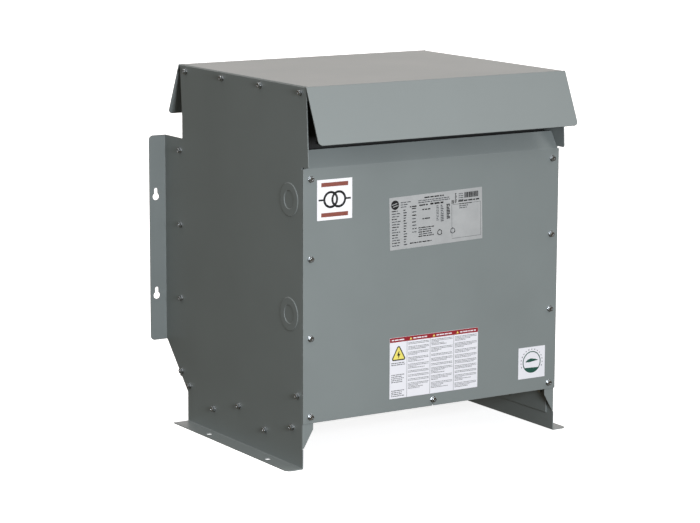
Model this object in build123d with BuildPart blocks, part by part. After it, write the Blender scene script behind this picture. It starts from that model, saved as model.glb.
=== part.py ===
from build123d import *
import os

os.makedirs("parts", exist_ok=True)

# A ventilated dry-type transformer: a core and three coils in a drip-hooded sheet-steel enclosure.
# Millimetres. X runs across, Y from the front (-) to the wall behind (+), Z up. The origin is on
# the floor under the middle of the whole outline.

# ---------------------------------------------------------------- driving dimensions: enclosure
WIDTH = 600.0  # over the outer faces of the side panels
HEIGHT = 739.0  # floor to the roof's top face
BODY_DEPTH = 474.0  # front cover's face to back panel's face
WALL_REACH = 76.0  # back panel's face to the wall
SHEET = 1.9  # 14 gauge steel
SHEET_GAP = 0.3  # between a web and what fits inside it
SEAT_GAP = 0.1  # between the cover and the flanges it closes on
BEND = 3.0  # outer radius of a bend
RELIEF = 1.5  # slit at the end of a bend

PANEL_BOTTOM = 89.5  # height of the lower edge of the cover and of the back panel
LEAN_DROP = 157.0  # from the roof down to where cover and back panel start to lean inwards
LEAN_RISE = 33.0
LEAN_RUN = 22.0
NOTCH_WIDTH = 3.2
NOTCH_DEPTH = 5.0

ROOF_FRONT = 13.5  # roof's front fold, ahead of the cover's face
ROOF_REAR = 10.5  # roof's rear fold, behind the back panel's face
ROOF_FLANGE = 26.0
ROOF_STRIP = 10.0  # wider than what is cut from the plate's sides and turned down
HOOD_DROP = 105.0
HOOD_FLARE = 46.5
HOOD_LAP = 1.5  # hood wider than the body, each side
HOOD_CORNER = 9.0

EAR_REACH = 18.7  # ear's lower end, ahead of the cover's face
EAR_GAP = 3.5  # ear's lower edge above the cover's wide part
EAR_CORNER = 4.0
EAR_CLEARANCE = 1.0
FLANGE_TOP_GAP = 2.0  # front flange's top below the start of the lean
FRONT_FLANGE = 24.0  # inward flange that the cover closes on
GUSSET_FOOT = 41.0
GUSSET_TOP = 77.0
GUSSET_TIP = 3.0
REAR_LIP = 13.0
REAR_LIP_FOOT = 14.0
REAR_LIP_TOP = 58.0

FOOT_REACH = 34.0  # foot flange, outwards
FOOT_CORNER = 12.0
FOOT_REAR = 16.3  # foot flange's rear end, ahead of the back panel's face
SIDE_SLANT_FOOT = 62.8  # where the web's rear edge leaves the vertical
WALL_FLANGE = 37.0  # wall flange, outwards
WALL_DROP = 151.0  # from the roof down to the wall flange's top
WALL_BOTTOM = 158.6
WALL_CORNER = 9.0

KNOCKOUT_R = 32.8  # foot of the slope round a 2 inch trade size
KNOCKOUT_INNER_R = 17.3  # 1 inch trade size
KNOCKOUT_STEP = 1.2  # how far the ring stands proud
KNOCKOUT_SLOPE = 1.0  # slope on the ring's edges
KNOCKOUT_SETBACK = 51.0
KNOCKOUT_HEIGHTS = (296.5, 518.3)

# ---------------------------------------------------------------- driving dimensions: fasteners
SHANK_R = 2.9
THREADED_R = 3.0  # hole that the screw cuts its thread in
CLEARANCE_R = 3.3  # hole that the screw passes through
WASHER_R = 6.5
WASHER_T = 1.3
SCREW_HEX = 9.5  # across flats
SCREW_HEX_T = 5.0
SCREW_DIMPLE = (2.8, 0.8)  # radius and depth of the hollow in the head
SCREW_LENGTH = 11.0

COVER_SCREW_INSET = 16.5  # from the side panel's outer face
SCREW_ROW_FOOT = 102.4  # lowest screw of the cover and back panel columns
SCREW_ROW_DROP = 176.4  # highest screw of the columns below the roof
SCREW_ROWS = 4
ROOF_SCREW_DROP = 12.5  # below the roof's top face
ROOF_SCREW_ENDS = (9.0, 17.0)  # first behind the cover's face, last ahead of the back panel's
ROOF_SCREWS = 4
BACK_SCREW_SETBACK = 8.5  # behind the back panel's face
BACK_FLANGE = 21.0
FRONT_SILL_SCREW = (19.4, 142.0)  # behind the cover's face, above the floor
REAR_SILL_SCREW = (24.0, 77.0)  # ahead of the back panel's face, above the floor
RAIL_SCREW_START = 39.2
RAIL_SCREW_END = 126.0  # last screw ahead of the back panel's face
RAIL_SCREW_HEIGHTS = (76.0, 49.2, 76.0, 49.2)

ANCHOR_R = 6.5
ANCHOR_OUT = 18.4  # anchor hole, outwards from the web's face
ANCHOR_SETBACK = 102.0
ANCHOR_END = 138.7  # rear anchor hole ahead of the back panel's face
KEYHOLE_R = 7.4
KEYHOLE_SLOT_R = 4.0
KEYHOLE_RISE = 14.0  # from the round hole's centre to the slot's end centre
KEYHOLE_OUT = 22.4
KEYHOLE_FOOT = 253.0
KEYHOLE_PITCH = 207.4

# ---------------------------------------------------------------- driving dimensions: base
RAIL_T = 3.0
RAIL_TOP = 88.0
RAIL_DEPTH = 54.0
RAIL_REACH = 60.0
RAIL_SETBACK = 22.0
RAIL_END = 98.0  # rail's rear end, ahead of the back panel's face
SILL_HEIGHT = 34.0
SILL_REACH = 40.0
FRONT_SILL_FOOT = 91.0
FRONT_TAB_TOP = 152.0
REAR_SILL_FOOT = 80.0
REAR_TAB_FOOT = 66.0
REAR_TAB = (38.0, 10.0)  # tab's ends, ahead of the back panel's face
SLOT_WIDTH = 6.0
SLOT_LENGTH = 60.0
SLOT_PITCH = (72.0, 18.0)
SCREEN_SETBACK = 42.0
SCREEN_DROP = 135.0  # from the roof down to the vent screens' feet
SCREEN_FLANGE = 20.0
SCREEN_SLOTS = (7, 6)
BOTTOM_SCREEN_LAP = 3.8  # under each rail
BOTTOM_SCREEN_ENDS = (30.0, 44.0)  # behind the cover's face, ahead of the back panel's
BOTTOM_SLOTS = (6, 20)

# ---------------------------------------------------------------- driving dimensions: core
LIMB_WIDTH = 60.0
PHASE_GAP = 14.0  # between neighbouring coils
STACK = 100.0  # thickness of the stack of laminations
YOKE = 60.0
PAD_T = 12.0
PAD_R = 16.0
CLAMP_T = 5.0
CLAMP_HEIGHT = 76.0
CLAMP_REACH = 60.0
CLAMP_END = 5.8  # clamp's end inside the enclosure's inner width
CLAMP_MARGIN = 8.0  # yoke's outer face inside the clamp's flange
CLAMP_PAPER = 1.5
CLAMP_BOLT_INSET = 55.0  # outer clamp bolts, from the clamp's end
ROD_INSET = 18.0  # tie rods and pads, from the clamp's end
ROD_OUT = 11.5  # tie rod's middle, outside the clamp's web
PAD_OUT = 38.0  # pad's middle, outside the clamp's web
ROD_R = 5.0  # bolts and tie rods
NUT_T = 8.0
NUT_HEX = 17.0
BOLT_GAP = 0.5
BOLT_HEAD = 6.5
THREAD_END = 3.0  # thread past a nut
ROD_END = 1.5  # rod below its lower nut, over the rail
LIFT_HOLE_R = 10.0
LIFT_HOLE_INSET = 35.0  # from the clamp's end
LIFT_HOLE_DROP = 50.0

# ---------------------------------------------------------------- driving dimensions: coils
COIL_HEIGHT = 270.0
COIL_BLOCK = 10.0  # between a yoke and the windings
FORMER_T = 2.0
LV_T = 16.0
HV_T = 18.0
BARRIER_T = 2.0
DUCT = 6.0  # air duct between the windings
LIMB_GAP = 2.0
WINDING_GAP = 1.0
STICK_WIDTH = 8.0
STICKS_ACROSS = (-24.0, -8.0, 8.0, 24.0)
STICKS_ALONG = (-40.0, 0.0, 40.0)
FORMER_STAND = 1.5  # former past the windings, each end
BLOCK_DEPTH = 80.0
BARRIER_WING = 40.0
FORMER_CORNER = 2.0
PHASE_BARRIER_T = 2.0

# ---------------------------------------------------------------- driving dimensions: terminals
BOARD_T = 8.0
TAP_BOARD = (60.0, 140.0)
BOARD_CORNER = 4.0
TAP_COLUMN = 20.0
TAP_PITCH = 32.0
STUD_R = 3.0
STUD_LENGTH = 22.0
LINK_T = 3.0
LINK_WIDTH = 12.0
SMALL_NUT_HEX = 10.0
SMALL_NUT_T = 5.0
LINE_PAD_WIDTH = 18.0
LINE_PAD_RISE = 36.0
LINE_HOLE_R = 5.5
LEAD_R = 4.0
LEAD_BEND = 9.0
LEAD_STANDOFF = 10.0
RETURN_DROP = 50.0
RETURN_SIDE = 26.0

BAR_T = 6.0
BAR_WIDTH = 40.0
BAR_RISE = 12.0  # level run of a low-voltage bar, over the windings
BAR_BEND = 8.0
STANDOFF_THREAD = 20.0
BUS_END = 45.0  # beyond the outer limb's middle
BUS_DROP = 38.0  # bus's lower edge below the windings
NEUTRAL_LEAD_OFFSET = 25.0
NEUTRAL_LEAD_WIDTH = 20.0
LV_BOARD_HEIGHT = 56.0
BOARD_MARGIN = 15.0  # board past the neutral's middle
LV_BOARD_LIFT = 1.0  # board's foot over the bars' bend
LV_BOARD_STANDOFF = 62.5
PAD_RISE = 95.0  # top of the terminals over the bolts that hold them
LUG_TOP_DROP = 17.0
LUG_HOLE_R = 7.0
LUG_PITCH = 44.45
STANDOFF_R = 8.0
STANDOFF_OUT = (25.0, 121.0)  # standoffs beyond the clamp bolt between the limbs
NEUTRAL_INSET = 20.0  # from the clamp's end
NEUTRAL_WIDTH = 30.0

SMALL_SCREW_R = 2.4
SMALL_SCREW_HEX = 8.0
SMALL_SCREW_HEAD = 3.5
SMALL_SCREW_LENGTH = 9.0
SET_SCREW_LENGTH = 8.0
STRAP_STANDOFF = 3.0
STRAP_HOLES = (27.0, 24.0)  # behind and ahead of the clamp leg's front edge
STRAP_WIDTH = 12.0
STRAP_T = 1.5
STRAP_INSET = 35.0  # from the clamp's end
LUG_SIZE = (18.0, 24.0, 20.0)
LUG_TONGUE = (22.0, 4.0)
LUG_BORE_R = 5.5
LUG_INSET = 12.0  # from the clamp's end
LUG_SETBACK = 62.0
LUG_SET_SCREW_R = 4.0

# ---------------------------------------------------------------- driving dimensions: stickers
LABEL_T = 0.25
MAKER_LABEL = (78.5, 78.0)
MAKER_LABEL_AT = (70.0, 61.6)  # inside the side, below the lean
RATING_PLATE = (218.0, 103.0)
RATING_PLATE_AT = (4.2, 118.4)  # off the middle, below the lean
RATING_PLATE_TILT = 1.5
HAZARD_LABEL = (209.5, 121.6)
HAZARD_LABEL_AT = (2.0, 85.9)  # off the middle, above the cover's lower edge
APPROVAL_LABEL = (66.0, 64.4)
APPROVAL_LABEL_AT = (59.4, 59.5)  # inside the side, above the cover's lower edge

# ---------------------------------------------------------------- planes and places
FACE_X = WIDTH / 2  # outer face of a side panel
WEB_X = FACE_X - SHEET  # its inner face
INSIDE_X = WEB_X - SHEET_GAP  # outer face of what fits inside it
DEPTH = ROOF_FRONT + HOOD_FLARE + BODY_DEPTH + WALL_REACH
COVER_Y = ROOF_FRONT + HOOD_FLARE - DEPTH / 2
BACK_Y = COVER_Y + BODY_DEPTH
WALL_Y = BACK_Y + WALL_REACH
SEAT_Y = COVER_Y + SHEET + SEAT_GAP  # front face of the flanges behind the cover
BACK_SEAT_Y = BACK_Y - SHEET - SEAT_GAP  # rear face of the sill behind the back panel
ROOF_FRONT_Y = COVER_Y - ROOF_FRONT
ROOF_REAR_Y = BACK_Y + ROOF_REAR
HOOD_FOOT = HEIGHT - HOOD_DROP
LEAN_START = HEIGHT - LEAN_DROP
WALL_TOP = HEIGHT - WALL_DROP
SCREEN_FOOT = HEIGHT - SCREEN_DROP
EAR_FOOT = LEAN_START + EAR_GAP
CORNER_Y = COVER_Y + BODY_DEPTH / 2  # halfway along the foot, to find its bends by
SIDES = (-1, 1)



def evenly(first, last, count):
    """Evenly spaced places from the first to the last."""
    return [first + (last - first) * i / (count - 1) for i in range(count)]


cover_rows = evenly(SCREW_ROW_FOOT, HEIGHT - SCREW_ROW_DROP, SCREW_ROWS)
cover_screw_x = FACE_X - COVER_SCREW_INSET
cover_screw_spots = [(side * cover_screw_x, z) for side in SIDES for z in cover_rows]
cover_screw_spots.append((0, SCREW_ROW_FOOT))
back_screw_y = BACK_Y + BACK_SCREW_SETBACK
back_screw_spots = [(back_screw_y, z) for z in cover_rows]
roof_screw_z = HEIGHT - ROOF_SCREW_DROP
roof_screw_ys = evenly(COVER_Y + ROOF_SCREW_ENDS[0], BACK_Y - ROOF_SCREW_ENDS[1], ROOF_SCREWS)
roof_screw_spots = [(y, roof_screw_z) for y in roof_screw_ys]
front_sill_spot = (COVER_Y + FRONT_SILL_SCREW[0], FRONT_SILL_SCREW[1])
rear_sill_spot = (BACK_Y - REAR_SILL_SCREW[0], REAR_SILL_SCREW[1])
sill_screw_spots = [front_sill_spot, rear_sill_spot]
rail_screw_ys = evenly(COVER_Y + RAIL_SCREW_START, BACK_Y - RAIL_SCREW_END, len(RAIL_SCREW_HEIGHTS))
rail_screw_spots = list(zip(rail_screw_ys, RAIL_SCREW_HEIGHTS))
side_spots = roof_screw_spots + back_screw_spots + sill_screw_spots + rail_screw_spots

# Core, on its pads in the middle of the enclosure.
WINDOW = COIL_HEIGHT + 2 * COIL_BLOCK  # height between the yokes
CORE_Y = (COVER_Y + BACK_Y) / 2
CLAMP_FOOT = RAIL_TOP + PAD_T
YOKE_FOOT = CLAMP_FOOT + CLAMP_MARGIN
WINDOW_FOOT = YOKE_FOOT + YOKE
WINDOW_TOP = WINDOW_FOOT + WINDOW
CORE_TOP = WINDOW_TOP + YOKE
CORE_Z = (WINDOW_FOOT + WINDOW_TOP) / 2
CLAMP_TOP = CORE_TOP + CLAMP_MARGIN
COIL_FOOT = CORE_Z - COIL_HEIGHT / 2
COIL_TOP = CORE_Z + COIL_HEIGHT / 2
FORMER_IN = (LIMB_WIDTH / 2 + LIMB_GAP, STACK / 2 + LIMB_GAP)


def grown(half_sizes, amount):
    """Half sizes of the next layer of a coil, amount further out all round."""
    return (half_sizes[0] + amount, half_sizes[1] + amount)


FORMER_OUT = grown(FORMER_IN, FORMER_T)
LV_IN = grown(FORMER_OUT, WINDING_GAP)
LV_OUT = grown(LV_IN, LV_T)
BARRIER_IN = grown(LV_OUT, DUCT)
BARRIER_OUT = grown(BARRIER_IN, BARRIER_T)
HV_IN = grown(BARRIER_OUT, WINDING_GAP)
HV_OUT = grown(HV_IN, HV_T)
COIL_FACE_Y = CORE_Y - HV_OUT[1]
LIMB_PITCH = 2 * HV_OUT[0] + PHASE_GAP
LIMB_XS = [LIMB_PITCH * i for i in (-1, 0, 1)]

CLAMP_WEB_Y = STACK / 2 + CLAMP_PAPER + CLAMP_T  # clamp's outer face, from the core's middle
clamp_end_x = INSIDE_X - CLAMP_END
outer_bolt_x = clamp_end_x - CLAMP_BOLT_INSET
yoke_bolt_xs = [side * offset for side in SIDES for offset in (LIMB_PITCH / 2, outer_bolt_x)]
rod_x = clamp_end_x - ROD_INSET
rod_y = CLAMP_WEB_Y + ROD_OUT
pad_y = CLAMP_WEB_Y + PAD_OUT
rod_spots = [(x * rod_x, CORE_Y + y * rod_y) for x in SIDES for y in SIDES]
pad_spots = [(x * rod_x, CORE_Y + y * pad_y) for x in SIDES for y in SIDES]
standoff_xs = [side * (LIMB_PITCH / 2 + offset) for side in SIDES for offset in STANDOFF_OUT]

BOARD_BACK_Y = CORE_Y - CLAMP_WEB_Y - LV_BOARD_STANDOFF
BOARD_FRONT_Y = BOARD_BACK_Y - BOARD_T
TAP_FACE_Y = COIL_FACE_Y - BOARD_T
LINK_FACE_Y = TAP_FACE_Y - LINK_T
tap_rows = [CORE_Z + TAP_PITCH * step for step in (-1.5, -0.5, 0.5, 1.5)]
tap_spots = [(x + side * TAP_COLUMN, z) for x in LIMB_XS for side in SIDES for z in tap_rows]
link_spots = [(x + TAP_COLUMN, CORE_Z) for x in LIMB_XS]
line_pad_spots = [(x - TAP_COLUMN, tap_rows[3]) for x in LIMB_XS]
bar_level = COIL_TOP + BAR_RISE
pad_bolt_z = bar_level + BAR_BEND + LV_BOARD_LIFT + LV_BOARD_HEIGHT / 2
PAD_TOP = pad_bolt_z + PAD_RISE
lug_top = PAD_TOP - LUG_TOP_DROP
lug_heights = [lug_top - LUG_PITCH, lug_top]
BUS_BACK_Y = BOARD_BACK_Y + BAR_T  # rear face of the neutral bus, behind the board
BUS_FOOT = COIL_FOOT - BUS_DROP
neutral_x = clamp_end_x - NEUTRAL_INSET
roof_flange_length = ROOF_REAR_Y - ROOF_FRONT_Y - 2 * RELIEF
sill_width = 2 * (FACE_X - FRONT_FLANGE - SHEET_GAP)
lug_y = COVER_Y + LUG_SETBACK
lug_x = clamp_end_x - LUG_INSET
lug_spot = (lug_x, lug_y + LUG_SIZE[1] / 2 + LUG_TONGUE[0] / 2)
strap_x = clamp_end_x - STRAP_INSET
clamp_tip_y = CORE_Y - STACK / 2 - CLAMP_PAPER - CLAMP_REACH  # front edge of the clamp's leg
strap_clamp_spot = (strap_x, clamp_tip_y + STRAP_HOLES[0])
strap_rail_spot = (strap_x, clamp_tip_y - STRAP_HOLES[1])


def write(builder, name):
    """Labels a finished piece and writes it as the node of that name."""
    builder.part.label = name
    export_step(builder.part, f"parts/{name}.step")


def left_and_right(builder, name):
    """Writes a right-hand piece and its mirror image."""
    with BuildPart() as mirrored:
        mirror(builder.part, about=Plane.YZ)
    write(builder, f"right_{name}")
    write(mirrored, f"left_{name}")


def across(spots, side):
    """Locations on a side panel's outer face, each with its Z axis pointing outwards."""
    return [Plane((side * FACE_X, y, z), x_dir=(0, 1, 0), z_dir=(side, 0, 0)).location for y, z in spots]


def facing_front(y, spots):
    """Locations in the plane at y, each with its Z axis pointing to the front."""
    return [Plane((x, y, z), x_dir=(1, 0, 0), z_dir=(0, -1, 0)).location for x, z in spots]


def upright(z, spots):
    """Locations in the plane at z, each with its Z axis pointing up."""
    return [Location((x, y, z)) for x, y in spots]


def washer_head_screw():
    """A hex washer-head screw: its seat is at the origin and its head points along +Z."""
    with BuildPart() as screw:
        with BuildSketch():
            Circle(WASHER_R)
        extrude(amount=WASHER_T)
        with BuildSketch(Plane.XY.offset(WASHER_T)):
            RegularPolygon(SCREW_HEX / 2, 6, major_radius=False)
        extrude(amount=SCREW_HEX_T)
        top = screw.faces().sort_by(Axis.Z)[-1]
        chamfer(top.edges(), 0.5)
        with Locations((0, 0, WASHER_T + SCREW_HEX_T)):
            Hole(SCREW_DIMPLE[0], depth=SCREW_DIMPLE[1])
        with BuildSketch():
            Circle(SHANK_R)
        extrude(amount=-SCREW_LENGTH)
        tip = screw.faces().sort_by(Axis.Z)[0]
        chamfer(tip.edges(), 1.0)
    return screw.part


def hex_bolt(radius, length, flats, head):
    """A hex-head bolt: its seat is at the origin, its head points along +Z, its shank down."""
    with BuildPart() as bolt:
        with BuildSketch():
            RegularPolygon(flats / 2, 6, major_radius=False)
        extrude(amount=head)
        chamfer(bolt.faces().sort_by(Axis.Z)[-1].edges(), 0.6)
        with BuildSketch():
            Circle(radius)
        extrude(amount=-length)
        chamfer(bolt.faces().sort_by(Axis.Z)[0].edges(), 0.8)
    return bolt.part


def hex_nut(radius, flats, height):
    """A hex nut on its seat at the origin, its bore a hair wider than its bolt."""
    with BuildPart() as nut:
        with BuildSketch():
            RegularPolygon(flats / 2, 6, major_radius=False)
            Circle(radius + SEAT_GAP, mode=Mode.SUBTRACT)
        extrude(amount=height)
    return nut.part


def ring(outer, inner, corner_out, corner_in, foot, height):
    """Rounded rectangular tubes, one round each limb."""
    with BuildPart() as rings:
        with BuildSketch(Plane.XY.offset(foot)):
            with Locations(*[(x, CORE_Y) for x in LIMB_XS]):
                RectangleRounded(2 * outer[0], 2 * outer[1], corner_out)
                RectangleRounded(2 * inner[0], 2 * inner[1], corner_in, mode=Mode.SUBTRACT)
        extrude(amount=height)
    return rings


# ================================================================ enclosure
# Side panel: one sheet with the web, the foot and wall flanges turned outwards, and the front
# flange and rear lip turned inwards.
flange_top = LEAN_START - FLANGE_TOP_GAP
bend_line_y = SEAT_Y + BEND
foot_front_y = SEAT_Y
foot_rear_y = BACK_Y - FOOT_REAR
foot_length = foot_rear_y - foot_front_y
knockout_spots = [(COVER_Y + KNOCKOUT_SETBACK, z) for z in KNOCKOUT_HEIGHTS]
keyhole_x = FACE_X + KEYHOLE_OUT
anchor_x = FACE_X + ANCHOR_OUT
anchor_spots = [(anchor_x, COVER_Y + ANCHOR_SETBACK), (anchor_x, BACK_Y - ANCHOR_END)]
with BuildPart() as side_panel:
    with BuildSketch(Plane.YZ.offset(WEB_X)):
        with BuildLine():
            Polyline(
                (foot_front_y, 0),
                (foot_front_y, GUSSET_FOOT - RELIEF),
                (bend_line_y, GUSSET_FOOT - RELIEF),
                (bend_line_y, GUSSET_FOOT),
                (SEAT_Y, GUSSET_FOOT),
                (SEAT_Y, flange_top),
                (bend_line_y, flange_top),
                (bend_line_y, EAR_FOOT),
                (COVER_Y - EAR_REACH, EAR_FOOT),
                (ROOF_FRONT_Y + BEND, HEIGHT - SHEET),
                (ROOF_REAR_Y - BEND, HEIGHT - SHEET),
                (BACK_Y, HOOD_FOOT),
                (BACK_Y, WALL_TOP),
                (WALL_Y, WALL_TOP),
                (WALL_Y, WALL_BOTTOM),
                (WALL_Y - BEND - RELIEF, WALL_BOTTOM),
                (foot_rear_y, SIDE_SLANT_FOOT),
                (foot_rear_y, 0),
                close=True,
            )
        make_face()
    extrude(amount=SHEET)
    ear_tip = (WEB_X, COVER_Y - EAR_REACH, EAR_FOOT)
    fillet(side_panel.edges().filter_by(Axis.X).sort_by_distance(ear_tip)[0], EAR_CORNER)
    # foot flange
    with BuildSketch() as foot:
        with Locations((WEB_X, foot_front_y)):
            Rectangle(FOOT_REACH + SHEET, foot_length, align=(Align.MIN, Align.MIN))
        fillet(foot.vertices().group_by(Axis.X)[-1].sort_by(Axis.Y)[0], FOOT_CORNER)
    extrude(amount=SHEET)
    # wall flange
    with BuildSketch(Plane.XZ.offset(-WALL_Y)) as wall:
        with Locations((WEB_X, WALL_BOTTOM)):
            Rectangle(WALL_FLANGE + SHEET, WALL_TOP - WALL_BOTTOM, align=(Align.MIN, Align.MIN))
        fillet(wall.vertices().group_by(Axis.X)[-1], WALL_CORNER)
    extrude(amount=SHEET)
    # front flange, which tapers to a gusset below the cover
    with BuildSketch(Plane.XZ.offset(-SEAT_Y)):
        with BuildLine():
            Polyline(
                (WEB_X, GUSSET_FOOT),
                (FACE_X - GUSSET_TIP, GUSSET_FOOT),
                (FACE_X - FRONT_FLANGE, GUSSET_TOP),
                (FACE_X - FRONT_FLANGE, flange_top),
                (WEB_X, flange_top),
                close=True,
            )
        make_face()
    extrude(amount=-SHEET)
    # rear lip, which stiffens the lower rear edge
    with BuildSketch(Plane.XZ.offset(-foot_rear_y)):
        with Locations((WEB_X, REAR_LIP_FOOT)):
            Rectangle(REAR_LIP, REAR_LIP_TOP - REAR_LIP_FOOT, align=(Align.MAX, Align.MIN))
    extrude(amount=SHEET)
    # bends, outer then inner
    outer_bends = [
        (FACE_X, SEAT_Y, HEIGHT / 2),
        (WEB_X, CORNER_Y, 0),
        (WEB_X, WALL_Y, (WALL_TOP + WALL_BOTTOM) / 2),
    ]
    inner_bends = [
        (FACE_X, CORNER_Y, SHEET),
        (FACE_X, WALL_Y - SHEET, (WALL_TOP + WALL_BOTTOM) / 2),
    ]
    for place in outer_bends:
        fillet(side_panel.edges().sort_by_distance(place)[0], BEND)
    for place in inner_bends:
        fillet(side_panel.edges().sort_by_distance(place)[0], BEND - SHEET)
    # knockouts: a ring sheared proud of the web, still joined to it, round a flush disc
    for plane, mode in ((Plane.YZ.offset(FACE_X), Mode.ADD), (Plane.YZ.offset(WEB_X), Mode.SUBTRACT)):
        with BuildSketch(plane):
            with Locations(*knockout_spots):
                Circle(KNOCKOUT_R)
                Circle(KNOCKOUT_INNER_R, mode=Mode.SUBTRACT)
        extrude(amount=KNOCKOUT_STEP, mode=mode)
    circles = side_panel.edges().filter_by(GeomType.CIRCLE)
    ring_edges = circles.filter_by(lambda edge: edge.radius > KNOCKOUT_INNER_R - SHEET)
    chamfer(ring_edges.group_by(Axis.X)[-1], KNOCKOUT_SLOPE)
    # holes in the web, the front flange, the foot and the wall flange
    with BuildSketch(Plane.YZ.offset(WEB_X)):
        with Locations(*side_spots):
            Circle(CLEARANCE_R)
    extrude(amount=SHEET, mode=Mode.SUBTRACT)
    with BuildSketch(Plane.XZ.offset(-SEAT_Y)):
        with Locations(*[(cover_screw_x, z) for z in cover_rows]):
            Circle(THREADED_R)
    extrude(amount=-SHEET, mode=Mode.SUBTRACT)
    with BuildSketch():
        with Locations(*anchor_spots):
            Circle(ANCHOR_R)
    extrude(amount=SHEET, mode=Mode.SUBTRACT)
    with BuildSketch(Plane.XZ.offset(-WALL_Y)):
        with Locations(*[(keyhole_x, KEYHOLE_FOOT + KEYHOLE_PITCH * i) for i in (0, 1)]):
            Circle(KEYHOLE_R)
            Rectangle(2 * KEYHOLE_SLOT_R, KEYHOLE_RISE, align=(Align.CENTER, Align.MIN))
            with Locations((0, KEYHOLE_RISE)):
                Circle(KEYHOLE_SLOT_R)
    extrude(amount=SHEET, mode=Mode.SUBTRACT)
left_and_right(side_panel, "side_panel")

# Top cover: roof with a flared hood at each end, and side flanges that drop inside the webs.
with BuildPart() as top_cover:
    with BuildSketch(Plane.YZ):
        with BuildLine():
            roof_line = FilletPolyline(
                (ROOF_FRONT_Y - HOOD_FLARE, HOOD_FOOT),
                (ROOF_FRONT_Y, HEIGHT),
                (ROOF_REAR_Y, HEIGHT),
                (ROOF_REAR_Y + HOOD_FLARE, HOOD_FOOT),
                radius=BEND,
            )
            offset(roof_line, amount=SHEET, side=Side.RIGHT)
        make_face()
    extrude(amount=FACE_X + HOOD_LAP, both=True)
    hood_tips = top_cover.edges().filter_by(lambda edge: abs(edge.center().X) > FACE_X)
    fillet(hood_tips.group_by(Axis.Z)[0], HOOD_CORNER)
    # between the folds the plate is narrower than the hoods and turns down inside the webs
    with BuildSketch(Plane.XY.offset(HEIGHT - ROOF_FLANGE)):
        for side in SIDES:
            with Locations((side * (INSIDE_X - BEND + ROOF_STRIP / 2), (ROOF_FRONT_Y + ROOF_REAR_Y) / 2)):
                Rectangle(ROOF_STRIP, roof_flange_length)
    extrude(amount=ROOF_FLANGE, mode=Mode.SUBTRACT)
    for side in SIDES:
        with BuildSketch(Plane.XZ.offset(-ROOF_FRONT_Y - RELIEF)):
            with BuildLine():
                flange_line = FilletPolyline(
                    (side * (INSIDE_X - ROOF_STRIP), HEIGHT),
                    (side * INSIDE_X, HEIGHT),
                    (side * INSIDE_X, HEIGHT - ROOF_FLANGE),
                    radius=BEND,
                )
                offset(flange_line, amount=SHEET, side=Side.RIGHT if side > 0 else Side.LEFT)
            make_face()
        extrude(amount=-roof_flange_length)
    with BuildSketch(Plane.YZ.offset(-FACE_X)):
        with Locations(*roof_screw_spots):
            Circle(THREADED_R)
    extrude(amount=WIDTH, mode=Mode.SUBTRACT)
write(top_cover, "top_cover")


def leaning_panel(face_y, inwards, half_width, top_half_width):
    """A flat panel whose top leans inwards; the leaning part fits between the ears."""
    with BuildPart() as panel:
        with BuildSketch(Plane.YZ):
            with BuildLine():
                line = FilletPolyline(
                    (face_y, PANEL_BOTTOM),
                    (face_y, LEAN_START),
                    (face_y + inwards * LEAN_RUN, LEAN_START + LEAN_RISE),
                    radius=BEND,
                )
                offset(line, amount=SHEET, side=Side.RIGHT if inwards > 0 else Side.LEFT)
            make_face()
        extrude(amount=half_width, both=True)
        if top_half_width < half_width:
            strip = half_width - top_half_width
            with BuildSketch(Plane.XY.offset(LEAN_START)):
                for side in SIDES:
                    with Locations((side * (half_width - strip / 2), face_y + inwards * LEAN_RUN / 2)):
                        Rectangle(strip, 2 * LEAN_RUN)
            extrude(amount=LEAN_RISE + SHEET, mode=Mode.SUBTRACT)
    return panel.part


# Front cover, with a notch at the middle of its lower edge.
with BuildPart() as front_cover:
    add(leaning_panel(COVER_Y, 1, FACE_X, INSIDE_X - EAR_CLEARANCE))
    with BuildSketch(Plane.XZ.offset(-COVER_Y)):
        with Locations(*cover_screw_spots):
            Circle(CLEARANCE_R)
        with Locations((0, PANEL_BOTTOM)):
            Rectangle(NOTCH_WIDTH, NOTCH_DEPTH, align=(Align.CENTER, Align.MIN))
    extrude(amount=-SHEET, mode=Mode.SUBTRACT)
write(front_cover, "front_cover")

# Back panel, between the webs, with flanges turned back along them.
with BuildPart() as back_panel:
    add(leaning_panel(BACK_Y, -1, INSIDE_X, INSIDE_X))
    with BuildSketch(Plane.XY.offset(PANEL_BOTTOM)):
        for side in SIDES:
            with Locations((side * (INSIDE_X - SHEET / 2), BACK_Y - SHEET)):
                Rectangle(SHEET, BACK_FLANGE + SHEET, align=(Align.CENTER, Align.MIN))
    extrude(amount=flange_top - PANEL_BOTTOM)
    with BuildSketch(Plane.YZ.offset(-FACE_X)):
        with Locations(*back_screw_spots):
            Circle(THREADED_R)
    extrude(amount=WIDTH, mode=Mode.SUBTRACT)
    with BuildSketch(Plane.XZ.offset(-BACK_Y)):
        with Locations((0, SCREW_ROW_FOOT)):
            Circle(CLEARANCE_R)
    extrude(amount=SHEET, mode=Mode.SUBTRACT)
write(back_panel, "back_panel")

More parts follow.
